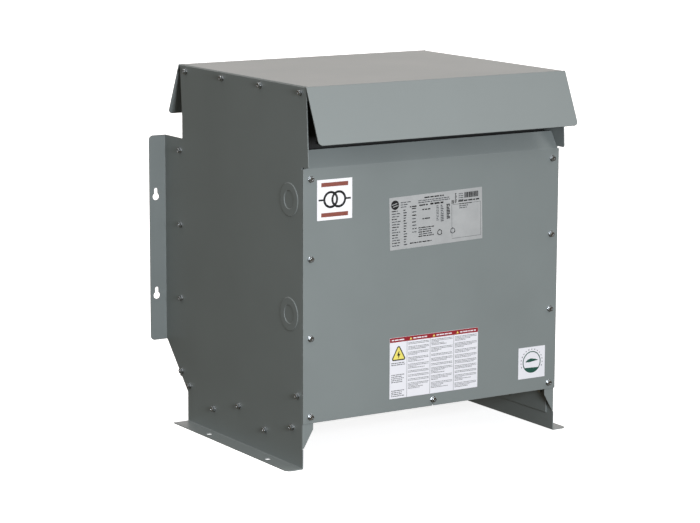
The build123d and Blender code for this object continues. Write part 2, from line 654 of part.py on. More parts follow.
# Front sill: upright web between the front flanges, a floor, and a tab up each side panel.
sill_wing_y = SEAT_Y + SHEET + SHEET_GAP
with BuildPart() as front_sill:
    with BuildSketch(Plane.XZ.offset(-SEAT_Y)):
        with Locations((0, FRONT_SILL_FOOT)):
            Rectangle(sill_width, SILL_HEIGHT, align=(Align.CENTER, Align.MIN))
        with Locations((0, SCREW_ROW_FOOT)):
            Circle(THREADED_R, mode=Mode.SUBTRACT)
    extrude(amount=-SHEET)
    with BuildSketch(Plane.XY.offset(FRONT_SILL_FOOT)):
        with Locations((0, SEAT_Y)):
            Rectangle(sill_width, SILL_REACH, align=(Align.CENTER, Align.MIN))
        with Locations((0, sill_wing_y)):
            Rectangle(2 * INSIDE_X, SEAT_Y + SILL_REACH - sill_wing_y, align=(Align.CENTER, Align.MIN))
    extrude(amount=SHEET)
    for side in SIDES:
        with BuildSketch(Plane.XY.offset(FRONT_SILL_FOOT)):
            with Locations((side * (INSIDE_X - SHEET / 2), sill_wing_y)):
                Rectangle(SHEET, SEAT_Y + SILL_REACH - sill_wing_y, align=(Align.CENTER, Align.MIN))
        extrude(amount=FRONT_TAB_TOP - FRONT_SILL_FOOT)
    with BuildSketch(Plane.YZ.offset(-FACE_X)):
        with Locations(front_sill_spot):
            Circle(THREADED_R)
    extrude(amount=WIDTH, mode=Mode.SUBTRACT)
write(front_sill, "front_sill")

# Rear sill: the same idea the other way round, with tabs that hang below its floor.
with BuildPart() as rear_sill:
    with BuildSketch(Plane.XZ.offset(-BACK_SEAT_Y)):
        with Locations((0, REAR_SILL_FOOT)):
            Rectangle(2 * INSIDE_X, SILL_HEIGHT, align=(Align.CENTER, Align.MIN))
        with Locations((0, SCREW_ROW_FOOT)):
            Circle(THREADED_R, mode=Mode.SUBTRACT)
    extrude(amount=SHEET)
    with BuildSketch(Plane.XY.offset(REAR_SILL_FOOT)):
        with Locations((0, BACK_SEAT_Y)):
            Rectangle(2 * INSIDE_X, SILL_REACH, align=(Align.CENTER, Align.MAX))
    extrude(amount=SHEET)
    for side in SIDES:
        with BuildSketch(Plane.XY.offset(REAR_TAB_FOOT)):
            with Locations((side * (INSIDE_X - SHEET / 2), BACK_Y - REAR_TAB[0])):
                Rectangle(SHEET, REAR_TAB[0] - REAR_TAB[1], align=(Align.CENTER, Align.MIN))
        extrude(amount=REAR_SILL_FOOT + SHEET - REAR_TAB_FOOT)
    with BuildSketch(Plane.YZ.offset(-FACE_X)):
        with Locations(rear_sill_spot):
            Circle(THREADED_R)
    extrude(amount=WIDTH, mode=Mode.SUBTRACT)
write(rear_sill, "rear_sill")

# Base rail: an angle inside each web; the core's pads stand on its upper leg.
rail_y = COVER_Y + RAIL_SETBACK
with BuildPart() as base_rail:
    with BuildSketch(Plane.XZ.offset(-rail_y)):
        with BuildLine():
            rail_line = FilletPolyline(
                (INSIDE_X, RAIL_TOP - RAIL_DEPTH),
                (INSIDE_X, RAIL_TOP),
                (INSIDE_X - RAIL_REACH, RAIL_TOP),
                radius=RAIL_T + BEND - SHEET,
            )
            offset(rail_line, amount=RAIL_T, side=Side.LEFT)
        make_face()
    extrude(amount=rail_y + RAIL_END - BACK_Y)
    with BuildSketch(Plane.YZ.offset(INSIDE_X - RAIL_T)):
        with Locations(*rail_screw_spots):
            Circle(THREADED_R)
    extrude(amount=RAIL_T, mode=Mode.SUBTRACT)
    with BuildSketch(Plane.XY.offset(RAIL_TOP - RAIL_T)):
        with Locations(*[spot for spot in pad_spots if spot[0] > 0]):
            Circle(ROD_R + BOLT_GAP)
        with Locations(lug_spot, strap_rail_spot):
            Circle(SMALL_SCREW_R + SEAT_GAP)
    extrude(amount=RAIL_T, mode=Mode.SUBTRACT)
left_and_right(base_rail, "base_rail")


def slotted_sheet(plane, size, slots):
    """A flat sheet on a plane with a grid of ventilation slots."""
    with BuildPart() as sheet:
        with BuildSketch(plane):
            Rectangle(*size)
            with GridLocations(*SLOT_PITCH, *slots):
                SlotOverall(SLOT_LENGTH, SLOT_WIDTH, mode=Mode.SUBTRACT)
        extrude(amount=SHEET)
    return sheet.part


# Screens that keep fingers and vermin out of the air ways.
screen_top = HEIGHT - SHEET
screen_size = (2 * (INSIDE_X - BEND - SHEET_GAP), screen_top - SCREEN_FOOT)
for name, y, outwards in (("front", COVER_Y + SCREEN_SETBACK, 1), ("rear", BACK_Y - SCREEN_SETBACK, -1)):
    middle = Plane((0, y, SCREEN_FOOT + screen_size[1] / 2), x_dir=(1, 0, 0), z_dir=(0, outwards, 0))
    with BuildPart() as vent_screen:
        add(slotted_sheet(middle, screen_size, SCREEN_SLOTS))
        with BuildSketch(Plane.XY.offset(screen_top - SHEET)):
            with Locations((0, y + outwards * SCREEN_FLANGE / 2)):
                Rectangle(screen_size[0], SCREEN_FLANGE)
        extrude(amount=SHEET)
    write(vent_screen, f"{name}_vent_screen")

bottom_front_y = COVER_Y + BOTTOM_SCREEN_ENDS[0]
bottom_rear_y = BACK_Y - BOTTOM_SCREEN_ENDS[1]
bottom_size = (2 * (INSIDE_X - RAIL_REACH + BOTTOM_SCREEN_LAP), bottom_rear_y - bottom_front_y)
with BuildPart() as bottom_screen:
    bottom_middle = (0, (bottom_front_y + bottom_rear_y) / 2, RAIL_TOP - RAIL_T - SHEET)
    add(slotted_sheet(Plane(bottom_middle), bottom_size, BOTTOM_SLOTS))
write(bottom_screen, "bottom_screen")

# ================================================================ enclosure screws
back_centre = Plane((0, BACK_Y, SCREW_ROW_FOOT), x_dir=(1, 0, 0), z_dir=(0, 1, 0)).location
screw_groups = {
    "roof_screws": (roof_screw_spots, []),
    "back_panel_screws": (back_screw_spots, [back_centre]),
    "sill_screws": (sill_screw_spots, []),
    "base_rail_screws": (rail_screw_spots, []),
}
for name, (spots, others) in screw_groups.items():
    with BuildPart() as screws:
        with Locations(*across(spots, 1), *across(spots, -1), *others):
            add(washer_head_screw())
    write(screws, name)

with BuildPart() as cover_screws:
    with Locations(*facing_front(COVER_Y, cover_screw_spots)):
        add(washer_head_screw())
write(cover_screws, "cover_screws")

# ================================================================ stickers on the cover
maker_spot = (MAKER_LABEL_AT[0] - FACE_X, LEAN_START - MAKER_LABEL_AT[1])
rating_spot = (RATING_PLATE_AT[0], LEAN_START - RATING_PLATE_AT[1])
hazard_spot = (HAZARD_LABEL_AT[0], PANEL_BOTTOM + HAZARD_LABEL_AT[1])
approval_spot = (FACE_X - APPROVAL_LABEL_AT[0], PANEL_BOTTOM + APPROVAL_LABEL_AT[1])
stickers = {
    "maker_label": (maker_spot, MAKER_LABEL, 0),
    "rating_plate": (rating_spot, RATING_PLATE, RATING_PLATE_TILT),
    "hazard_label": (hazard_spot, HAZARD_LABEL, 0),
    "approval_label": (approval_spot, APPROVAL_LABEL, 0),
}
for name, (spot, size, tilt) in stickers.items():
    with BuildPart() as sticker:
        with BuildSketch(Plane.XZ.offset(-COVER_Y)):
            with Locations(Location(spot, tilt)):
                Rectangle(*size)
        extrude(amount=LABEL_T)
    write(sticker, name)

# ================================================================ core
yoke_size = (2 * LIMB_PITCH + LIMB_WIDTH, STACK)
for name, foot_z in (("lower_yoke", YOKE_FOOT), ("upper_yoke", WINDOW_TOP)):
    with BuildPart() as yoke:
        with BuildSketch(Plane.XY.offset(foot_z)):
            with Locations((0, CORE_Y)):
                Rectangle(*yoke_size)
        extrude(amount=YOKE)
        with BuildSketch(Plane.XZ.offset(-CORE_Y)):
            with Locations(*[(side * LIMB_PITCH / 2, foot_z + YOKE / 2) for side in SIDES]):
                Circle(ROD_R + BOLT_GAP)
        extrude(amount=STACK, both=True, mode=Mode.SUBTRACT)
    write(yoke, name)

with BuildPart() as core_limbs:
    with BuildSketch(Plane.XY.offset(WINDOW_FOOT)):
        with Locations(*[(x, CORE_Y) for x in LIMB_XS]):
            Rectangle(LIMB_WIDTH, STACK)
    extrude(amount=WINDOW)
write(core_limbs, "core_limbs")

front_paper_y = CORE_Y - STACK / 2 - CLAMP_PAPER  # clamp's inner face at the front
lower_bolt_spots = [(x, YOKE_FOOT + YOKE / 2) for x in yoke_bolt_xs]
upper_bolt_spots = [(x, WINDOW_TOP + YOKE / 2) for x in yoke_bolt_xs]


def clamp(corner_z, upwards, bolt_spots, leg_spots, web_holes):
    """Front clamp angle: a web against the yoke and a leg outwards at corner_z."""
    with BuildPart() as angle:
        with BuildSketch(Plane.YZ) as section:
            with BuildLine():
                Polyline(
                    (front_paper_y, corner_z),
                    (front_paper_y, corner_z + upwards * CLAMP_HEIGHT),
                    (front_paper_y - CLAMP_T, corner_z + upwards * CLAMP_HEIGHT),
                    (front_paper_y - CLAMP_T, corner_z + upwards * CLAMP_T),
                    (front_paper_y - CLAMP_REACH, corner_z + upwards * CLAMP_T),
                    (front_paper_y - CLAMP_REACH, corner_z),
                    close=True,
                )
            make_face()
            root = (front_paper_y - CLAMP_T, corner_z + upwards * CLAMP_T)
            fillet(section.vertices().sort_by_distance(root)[0], CLAMP_T)
        extrude(amount=clamp_end_x, both=True)
        with BuildSketch(Plane.XZ.offset(-front_paper_y)):
            with Locations(*bolt_spots):
                Circle(ROD_R + BOLT_GAP)
            with Locations(*web_holes):
                Circle(LIFT_HOLE_R)
        extrude(amount=CLAMP_T, mode=Mode.SUBTRACT)
        with BuildSketch(Plane.XY.offset(min(corner_z, corner_z + upwards * CLAMP_T))):
            with Locations(*[(x, y) for x, y in leg_spots if y < CORE_Y]):
                Circle(ROD_R + BOLT_GAP)
        extrude(amount=CLAMP_T, mode=Mode.SUBTRACT)
    return angle.part


def front_and_rear(front_piece, name):
    """Writes a front clamp and its mirror image behind the core."""
    with BuildPart() as front:
        add(front_piece)
        if name == "lower_clamp":
            with Locations(Location((strap_clamp_spot[0], strap_clamp_spot[1], CLAMP_FOOT))):
                Hole(SMALL_SCREW_R + SEAT_GAP, depth=2 * CLAMP_T)
    with BuildPart() as rear:
        mirror(front_piece, about=Plane.XZ.offset(-CORE_Y))
    write(front, f"front_{name}")
    write(rear, f"rear_{name}")


front_and_rear(clamp(CLAMP_FOOT, 1, lower_bolt_spots, rod_spots + pad_spots, []), "lower_clamp")
lift_spots = [(side * (clamp_end_x - LIFT_HOLE_INSET), CLAMP_TOP - LIFT_HOLE_DROP) for side in SIDES]
front_and_rear(clamp(CLAMP_TOP, -1, upper_bolt_spots, rod_spots, lift_spots), "upper_clamp")

with BuildPart() as clamp_insulation:
    for foot_z in (CLAMP_FOOT, CLAMP_TOP - CLAMP_HEIGHT):
        with BuildSketch(Plane.XY.offset(foot_z)):
            for side in SIDES:
                with Locations((0, CORE_Y + side * (STACK + CLAMP_PAPER) / 2)):
                    Rectangle(2 * clamp_end_x, CLAMP_PAPER)
        extrude(amount=CLAMP_HEIGHT)
    with BuildSketch(Plane.XZ.offset(-CORE_Y)):
        with Locations(*lower_bolt_spots, *upper_bolt_spots):
            Circle(ROD_R + BOLT_GAP)
        with Locations(*lift_spots):
            Circle(LIFT_HOLE_R)
    extrude(amount=STACK, both=True, mode=Mode.SUBTRACT)
write(clamp_insulation, "clamp_insulation")

clamp_face_y = CORE_Y - CLAMP_WEB_Y
yoke_bolt_length = 2 * CLAMP_WEB_Y + NUT_T + THREAD_END
with BuildPart() as yoke_bolts:
    with Locations(*facing_front(clamp_face_y, lower_bolt_spots + upper_bolt_spots)):
        add(hex_bolt(ROD_R, yoke_bolt_length, NUT_HEX, BOLT_HEAD))
write(yoke_bolts, "yoke_bolts")

rod_foot = CLAMP_FOOT - NUT_T - ROD_END
with BuildPart() as tie_rods:
    with BuildSketch(Plane.XY.offset(rod_foot)):
        with Locations(*rod_spots):
            Circle(ROD_R)
    extrude(amount=CLAMP_TOP + NUT_T + THREAD_END - rod_foot)
write(tie_rods, "tie_rods")

with BuildPart() as isolation_pads:
    with BuildSketch(Plane.XY.offset(RAIL_TOP)):
        with Locations(*pad_spots):
            Circle(PAD_R)
            Circle(ROD_R + BOLT_GAP, mode=Mode.SUBTRACT)
    extrude(amount=PAD_T)
write(isolation_pads, "isolation_pads")

pad_grip = CLAMP_T + PAD_T + RAIL_T
with BuildPart() as pad_bolts:
    with Locations(*upright(CLAMP_FOOT + CLAMP_T, pad_spots)):
        add(hex_bolt(ROD_R, pad_grip + NUT_T + THREAD_END, NUT_HEX, BOLT_HEAD))
write(pad_bolts, "pad_bolts")

nut_places = [
    *facing_front(CORE_Y + CLAMP_WEB_Y + NUT_T, lower_bolt_spots + upper_bolt_spots),
    *upright(CLAMP_FOOT - NUT_T, rod_spots),
    *upright(CLAMP_TOP, rod_spots),
    *upright(RAIL_TOP - RAIL_T - NUT_T, pad_spots),
    *facing_front(BOARD_BACK_Y + NUT_T, [(x, pad_bolt_z) for x in LIMB_XS]),
    *facing_front(BUS_BACK_Y + NUT_T, [(neutral_x, pad_bolt_z)]),
]
with BuildPart() as hex_nuts:
    with Locations(*nut_places):
        add(hex_nut(ROD_R, NUT_HEX, NUT_T))
write(hex_nuts, "hex_nuts")

# ================================================================ coils
former_height = COIL_HEIGHT + 2 * FORMER_STAND
former_foot = COIL_FOOT - FORMER_STAND
former_corner_out = FORMER_CORNER + FORMER_T
coil_formers = ring(
    FORMER_OUT, FORMER_IN, former_corner_out, FORMER_CORNER, former_foot, former_height
)
write(coil_formers, "coil_formers")

lv_corner_in = former_corner_out + WINDING_GAP
lv_corner_out = lv_corner_in + LV_T
lv_windings = ring(LV_OUT, LV_IN, lv_corner_out, lv_corner_in, COIL_FOOT, COIL_HEIGHT)
write(lv_windings, "lv_windings")

barrier_corner = lv_corner_out + DUCT
barrier_tubes = ring(
    BARRIER_OUT, BARRIER_IN, barrier_corner + BARRIER_T, barrier_corner, COIL_FOOT, COIL_HEIGHT
)
write(barrier_tubes, "barrier_tubes")

hv_corner_in = barrier_corner + BARRIER_T + WINDING_GAP
hv_windings = ring(HV_OUT, HV_IN, hv_corner_in + HV_T, hv_corner_in, COIL_FOOT, COIL_HEIGHT)
write(hv_windings, "hv_windings")

with BuildPart() as duct_sticks:
    with BuildSketch(Plane.XY.offset(COIL_FOOT)):
        with Locations(*[(x, CORE_Y) for x in LIMB_XS]):
            for side in SIDES:
                for step in STICKS_ACROSS:
                    with Locations((step, side * (LV_OUT[1] + DUCT / 2))):
                        Rectangle(STICK_WIDTH, DUCT)
                for step in STICKS_ALONG:
                    with Locations((side * (LV_OUT[0] + DUCT / 2), step)):
                        Rectangle(DUCT, STICK_WIDTH)
    extrude(amount=COIL_HEIGHT)
write(duct_sticks, "duct_sticks")

# Blocks that carry the coils on the yokes, and barrier sheets between neighbouring coils.
block_inner = FORMER_OUT[0] + WINDING_GAP
block_width = HV_OUT[0] - block_inner
block_offset = block_inner + block_width / 2
block_spots = [(side * block_offset, CORE_Y) for side in SIDES]
block_spots += [(side * (LIMB_PITCH - block_offset), CORE_Y) for side in SIDES]
with BuildPart() as coil_blocks:
    for foot_z in (WINDOW_FOOT, COIL_TOP):
        with BuildSketch(Plane.XY.offset(foot_z)):
            with Locations(*block_spots):
                Rectangle(block_width, BLOCK_DEPTH)
        extrude(amount=COIL_BLOCK)
write(coil_blocks, "coil_blocks")

with BuildPart() as phase_barriers:
    with BuildSketch(Plane.XY.offset(WINDOW_FOOT)):
        for side in SIDES:
            with Locations((side * LIMB_PITCH / 2, CORE_Y)):
                Rectangle(PHASE_BARRIER_T, STACK)
    extrude(amount=WINDOW)
    for side_y in SIDES:
        with BuildSketch(Plane.XY.offset(COIL_FOOT)):
            for side in SIDES:
                with Locations((side * LIMB_PITCH / 2, CORE_Y + side_y * (STACK + BARRIER_WING) / 2)):
                    Rectangle(PHASE_BARRIER_T, BARRIER_WING)
        extrude(amount=COIL_HEIGHT)
write(phase_barriers, "phase_barriers")

# ================================================================ high-voltage taps
with BuildPart() as tap_boards:
    with BuildSketch(Plane.XZ.offset(-COIL_FACE_Y)):
        with Locations(*[(x, CORE_Z) for x in LIMB_XS]):
            RectangleRounded(*TAP_BOARD, BOARD_CORNER)
        with Locations(*tap_spots):
            Circle(STUD_R + SEAT_GAP, mode=Mode.SUBTRACT)
    extrude(amount=BOARD_T)
write(tap_boards, "tap_boards")

with BuildPart() as tap_studs:
    with BuildSketch(Plane.XZ.offset(-COIL_FACE_Y)):
        with Locations(*tap_spots):
            Circle(STUD_R)
    extrude(amount=STUD_LENGTH)
write(tap_studs, "tap_studs")

with BuildPart() as tap_links:
    with BuildSketch(Plane.XZ.offset(-TAP_FACE_Y)):
        with Locations(*link_spots):
            SlotCenterToCenter(TAP_PITCH, LINK_WIDTH, rotation=90)
            with Locations((0, TAP_PITCH / 2), (0, -TAP_PITCH / 2)):
                Circle(STUD_R + SEAT_GAP, mode=Mode.SUBTRACT)
    extrude(amount=LINK_T)
write(tap_links, "tap_links")

with BuildPart() as line_terminals:
    with BuildSketch(Plane.XZ.offset(-TAP_FACE_Y)):
        with Locations(*line_pad_spots):
            with Locations((0, LINE_PAD_RISE / 2)):
                RectangleRounded(LINE_PAD_WIDTH, LINE_PAD_RISE + LINE_PAD_WIDTH, BOARD_CORNER)
            Circle(STUD_R + SEAT_GAP, mode=Mode.SUBTRACT)
            with Locations((0, LINE_PAD_RISE)):
                Circle(LINE_HOLE_R, mode=Mode.SUBTRACT)
    extrude(amount=LINK_T)
write(line_terminals, "line_terminals")

linked_spots = [(x, z + side * TAP_PITCH / 2) for x, z in link_spots for side in SIDES]
bare_spots = [spot for spot in tap_spots if spot not in linked_spots + line_pad_spots]
with BuildPart() as tap_washers:
    with BuildSketch(Plane.XZ.offset(-TAP_FACE_Y)):
        with Locations(*bare_spots):
            Circle(LINK_WIDTH / 2)
            Circle(STUD_R + SEAT_GAP, mode=Mode.SUBTRACT)
    extrude(amount=LINK_T)
write(tap_washers, "tap_washers")

with BuildPart() as tap_nuts:
    with Locations(*facing_front(LINK_FACE_Y, tap_spots)):
        add(hex_nut(STUD_R, SMALL_NUT_HEX, SMALL_NUT_T))
write(tap_nuts, "tap_nuts")

# Delta leads: each joins the foot of one phase's taps to the line terminal of the next.
stud_end_y = COIL_FACE_Y - STUD_LENGTH
near_y = stud_end_y - LEAD_STANDOFF
far_y = near_y - LEAD_STANDOFF
low_z = tap_rows[0]
high_z = tap_rows[3]
lead_starts = [x + TAP_COLUMN for x in LIMB_XS]
lead_ends = [x - TAP_COLUMN for x in LIMB_XS]
lead_routes = []
for i in (0, 1):
    middle_x = LIMB_XS[i] + LIMB_PITCH / 2
    lead_routes.append(
        [
            (lead_starts[i], stud_end_y, low_z),
            (lead_starts[i], near_y, low_z),
            (middle_x, near_y, low_z),
            (middle_x, near_y, high_z),
            (lead_ends[i + 1], near_y, high_z),
            (lead_ends[i + 1], stud_end_y, high_z),
        ]
    )
lead_routes.append(
    [
        (lead_starts[2], stud_end_y, low_z),
        (lead_starts[2], far_y, low_z),
        (lead_starts[2], far_y, low_z - RETURN_DROP),
        (lead_ends[0] - RETURN_SIDE, far_y, low_z - RETURN_DROP),
        (lead_ends[0] - RETURN_SIDE, far_y, high_z),
        (lead_ends[0], far_y, high_z),
        (lead_ends[0], stud_end_y, high_z),
    ]
)
with BuildPart() as delta_leads:
    for route in lead_routes:
        with BuildLine() as path:
            FilletPolyline(*route, radius=LEAD_BEND)
        with BuildSketch(Plane.XZ.offset(-stud_end_y)):
            with Locations((route[0][0], route[0][2])):
                Circle(LEAD_R)
        sweep(path=path.line)
write(delta_leads, "delta_leads")

# ================================================================ low-voltage terminals
lead_y = CORE_Y - (LV_IN[1] + LV_OUT[1]) / 2
lug_hole_spots = [(x, z) for x in LIMB_XS for z in lug_heights]
with BuildPart() as lv_bars:
    for x in LIMB_XS:
        with BuildSketch(Plane.YZ.offset(x - BAR_WIDTH / 2)):
            with BuildLine():
                bar_line = FilletPolyline(
                    (lead_y + BAR_T / 2, COIL_TOP),
                    (lead_y + BAR_T / 2, bar_level),
                    (BOARD_FRONT_Y, bar_level),
                    (BOARD_FRONT_Y, PAD_TOP),
                    radius=BAR_BEND,
                )
                offset(bar_line, amount=BAR_T, side=Side.LEFT)
            make_face()
        extrude(amount=BAR_WIDTH)
    with BuildSketch(Plane.XZ.offset(-BOARD_FRONT_Y)):
        with Locations(*lug_hole_spots):
            Circle(LUG_HOLE_R)
        with Locations(*[(x, pad_bolt_z) for x in LIMB_XS]):
            Circle(ROD_R + BOLT_GAP)
    extrude(amount=BAR_T, mode=Mode.SUBTRACT)
write(lv_bars, "lv_bars")

board_bolt_spots = [(x, pad_bolt_z) for x in standoff_xs]
pad_bolt_spots = [(x, pad_bolt_z) for x in (*LIMB_XS, neutral_x)]
with BuildPart() as lv_terminal_board:
    with BuildSketch(Plane.XZ.offset(-BOARD_BACK_Y)):
        with Locations((0, pad_bolt_z)):
            RectangleRounded(2 * (neutral_x + BOARD_MARGIN), LV_BOARD_HEIGHT, BOARD_CORNER)
        with Locations(*board_bolt_spots, *pad_bolt_spots):
            Circle(ROD_R + BOLT_GAP, mode=Mode.SUBTRACT)
    extrude(amount=BOARD_T)
write(lv_terminal_board, "lv_terminal_board")

with BuildPart() as board_standoffs:
    with BuildSketch(Plane.XZ.offset(-clamp_face_y)):
        with Locations(*board_bolt_spots):
            RegularPolygon(STANDOFF_R, 6, major_radius=False)
    extrude(amount=LV_BOARD_STANDOFF)
    with BuildSketch(Plane.XZ.offset(-BOARD_BACK_Y)):
        with Locations(*board_bolt_spots):
            Circle(ROD_R + SEAT_GAP)
    extrude(amount=-STANDOFF_THREAD, mode=Mode.SUBTRACT)
write(board_standoffs, "board_standoffs")

with BuildPart() as board_bolts:
    with Locations(*facing_front(BOARD_FRONT_Y, board_bolt_spots)):
        add(hex_bolt(ROD_R, BOARD_T + STANDOFF_THREAD - THREAD_END, NUT_HEX, BOLT_HEAD))
write(board_bolts, "board_bolts")

pad_bolt_length = BAR_T + BOARD_T + NUT_T + THREAD_END
with BuildPart() as lv_pad_bolts:
    with Locations(*facing_front(BOARD_FRONT_Y - BAR_T, pad_bolt_spots[:3])):
        add(hex_bolt(ROD_R, pad_bolt_length, NUT_HEX, BOLT_HEAD))
    with Locations(*facing_front(BOARD_FRONT_Y, pad_bolt_spots[3:])):
        add(hex_bolt(ROD_R, pad_bolt_length, NUT_HEX, BOLT_HEAD))
write(lv_pad_bolts, "lv_pad_bolts")

# Neutral bus: a run below the coils and a riser to its own lug holes beside the phases'.
with BuildPart() as neutral_bus:
    with BuildSketch(Plane.XZ.offset(-BUS_BACK_Y)):
        with BuildLine():
            Polyline(
                (LIMB_XS[0] - BUS_END, BUS_FOOT),
                (neutral_x + NEUTRAL_WIDTH / 2, BUS_FOOT),
                (neutral_x + NEUTRAL_WIDTH / 2, PAD_TOP),
                (neutral_x - NEUTRAL_WIDTH / 2, PAD_TOP),
                (neutral_x - NEUTRAL_WIDTH / 2, BUS_FOOT + NEUTRAL_WIDTH),
                (LIMB_XS[0] - BUS_END, BUS_FOOT + NEUTRAL_WIDTH),
                close=True,
            )
        make_face()
        with Locations((neutral_x, lug_heights[0]), (neutral_x, lug_heights[1])):
            Circle(LUG_HOLE_R, mode=Mode.SUBTRACT)
        with Locations((neutral_x, pad_bolt_z)):
            Circle(ROD_R + BOLT_GAP, mode=Mode.SUBTRACT)
    extrude(amount=BAR_T)
write(neutral_bus, "neutral_bus")

with BuildPart() as neutral_leads:
    for x in LIMB_XS:
        with BuildSketch(Plane.YZ.offset(x - NEUTRAL_LEAD_OFFSET - NEUTRAL_LEAD_WIDTH / 2)):
            with BuildLine():
                lead_line = FilletPolyline(
                    (lead_y + BAR_T / 2, COIL_FOOT),
                    (lead_y + BAR_T / 2, BUS_FOOT + NEUTRAL_WIDTH / 2),
                    (BUS_BACK_Y, BUS_FOOT + NEUTRAL_WIDTH / 2),
                    radius=BAR_BEND,
                )
                offset(lead_line, amount=BAR_T, side=Side.RIGHT)
            make_face()
        extrude(amount=NEUTRAL_LEAD_WIDTH)
write(neutral_leads, "neutral_leads")

# ================================================================ earthing
with BuildPart() as earth_lug:
    with BuildSketch(Plane.XY.offset(RAIL_TOP)):
        with Locations((lug_x, lug_y)):
            Rectangle(LUG_SIZE[0], LUG_SIZE[1])
    extrude(amount=LUG_SIZE[2])
    with BuildSketch(Plane.XY.offset(RAIL_TOP)):
        with Locations((lug_x, lug_spot[1])):
            Rectangle(LUG_SIZE[0], LUG_TONGUE[0])
    extrude(amount=LUG_TONGUE[1])
    with Locations(Location((lug_x, lug_spot[1], RAIL_TOP + LUG_TONGUE[1]))):
        Hole(SMALL_SCREW_R + SEAT_GAP, depth=LUG_TONGUE[1])
    with Locations(Location((lug_x, lug_y, RAIL_TOP + LUG_SIZE[2]))):
        Hole(LUG_SET_SCREW_R + SEAT_GAP, depth=LUG_SIZE[2] / 2)
    with BuildSketch(Plane.XZ.offset(-lug_y - LUG_SIZE[1] / 2)):
        with Locations((lug_x, RAIL_TOP + LUG_SIZE[2] / 2)):
            Circle(LUG_BORE_R)
    extrude(amount=LUG_SIZE[1], mode=Mode.SUBTRACT)
write(earth_lug, "earth_lug")

with BuildPart() as earth_lug_set_screw:
    with BuildSketch(Plane.XY.offset(RAIL_TOP + LUG_SIZE[2] / 2 + LUG_BORE_R)):
        with Locations((lug_x, lug_y)):
            Circle(LUG_SET_SCREW_R)
    extrude(amount=SET_SCREW_LENGTH)
    socket_top = earth_lug_set_screw.faces().sort_by(Axis.Z)[-1]
    with BuildSketch(Plane(socket_top)):
        RegularPolygon(LUG_SET_SCREW_R / 2, 6)
    extrude(amount=-SET_SCREW_LENGTH / 2, mode=Mode.SUBTRACT)
write(earth_lug_set_screw, "earth_lug_set_screw")

with BuildPart() as earth_strap:
    with BuildSketch(Plane.YZ.offset(strap_x - STRAP_WIDTH / 2)):
        with BuildLine():
            strap_line = FilletPolyline(
                (strap_clamp_spot[1] + STRAP_WIDTH / 2, CLAMP_FOOT + CLAMP_T),
                (clamp_tip_y - STRAP_STANDOFF, CLAMP_FOOT + CLAMP_T),
                (clamp_tip_y - STRAP_STANDOFF, RAIL_TOP),
                (strap_rail_spot[1] - STRAP_WIDTH / 2, RAIL_TOP),
                radius=BEND,
            )
            offset(strap_line, amount=STRAP_T, side=Side.RIGHT)
        make_face()
    extrude(amount=STRAP_WIDTH)
    with BuildSketch(Plane.XY.offset(RAIL_TOP)):
        with Locations(strap_clamp_spot, strap_rail_spot):
            Circle(SMALL_SCREW_R + SEAT_GAP)
    extrude(amount=CLAMP_FOOT + CLAMP_T + STRAP_T - RAIL_TOP, mode=Mode.SUBTRACT)
write(earth_strap, "earth_strap")

small_screw_seats = [
    (*strap_clamp_spot, CLAMP_FOOT + CLAMP_T + STRAP_T),
    (*strap_rail_spot, RAIL_TOP + STRAP_T),
    (*lug_spot, RAIL_TOP + LUG_TONGUE[1]),
]
with BuildPart() as earth_screws:
    with Locations(*[Location(seat) for seat in small_screw_seats]):
        add(hex_bolt(SMALL_SCREW_R, SMALL_SCREW_LENGTH, SMALL_SCREW_HEX, SMALL_SCREW_HEAD))
write(earth_screws, "earth_screws")
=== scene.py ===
import math
import random

import bmesh
import bpy
from mathutils import Matrix, Quaternion, Vector


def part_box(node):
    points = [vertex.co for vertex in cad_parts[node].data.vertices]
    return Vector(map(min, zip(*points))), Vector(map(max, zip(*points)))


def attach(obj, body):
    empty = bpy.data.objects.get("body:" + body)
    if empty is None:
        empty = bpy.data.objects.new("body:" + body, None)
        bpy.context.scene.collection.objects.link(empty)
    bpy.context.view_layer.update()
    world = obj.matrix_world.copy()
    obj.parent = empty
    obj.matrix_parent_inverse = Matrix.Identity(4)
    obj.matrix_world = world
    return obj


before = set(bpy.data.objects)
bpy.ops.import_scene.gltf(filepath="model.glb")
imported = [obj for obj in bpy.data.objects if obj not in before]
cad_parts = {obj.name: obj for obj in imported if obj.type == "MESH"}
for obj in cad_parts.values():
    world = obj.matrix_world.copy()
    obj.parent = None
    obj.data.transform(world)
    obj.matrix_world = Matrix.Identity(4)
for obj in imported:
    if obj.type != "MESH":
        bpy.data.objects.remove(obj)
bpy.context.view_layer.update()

MM = 0.001
COVER = "front_cover"

# Camera: a long lens, a little above the roof and to the left of the front cover.
CAMERA_PLACE = (-2.7268, -4.2397, 1.2495)
CAMERA_SIGHT = (0.5268, 0.8312, -0.1774)
CAMERA_ROLL = -0.22  # degrees
LENS_MM = 129.137
camera_data = bpy.data.cameras.new("view_camera")
camera_data.lens = LENS_MM
camera_data.sensor_width = 36.0
camera_data.clip_start = 0.1
camera_data.clip_end = 200.0
camera = bpy.data.objects.new("view_camera", camera_data)
bpy.context.scene.collection.objects.link(camera)
camera.rotation_mode = "QUATERNION"
camera.location = CAMERA_PLACE
sight = Vector(CAMERA_SIGHT).normalized()
camera.rotation_quaternion = Quaternion(sight, math.radians(CAMERA_ROLL)) @ sight.to_track_quat("-Z", "Y")
bpy.context.scene.camera = camera


# ---------------------------------------------------------------- helpers
def linear(hex_code):
    """An sRGB hex colour as linear RGBA."""
    parts = [int(hex_code[i : i + 2], 16) / 255 for i in (1, 3, 5)]
    return [p / 12.92 if p <= 0.04045 else ((p + 0.055) / 1.055) ** 2.4 for p in parts] + [1.0]


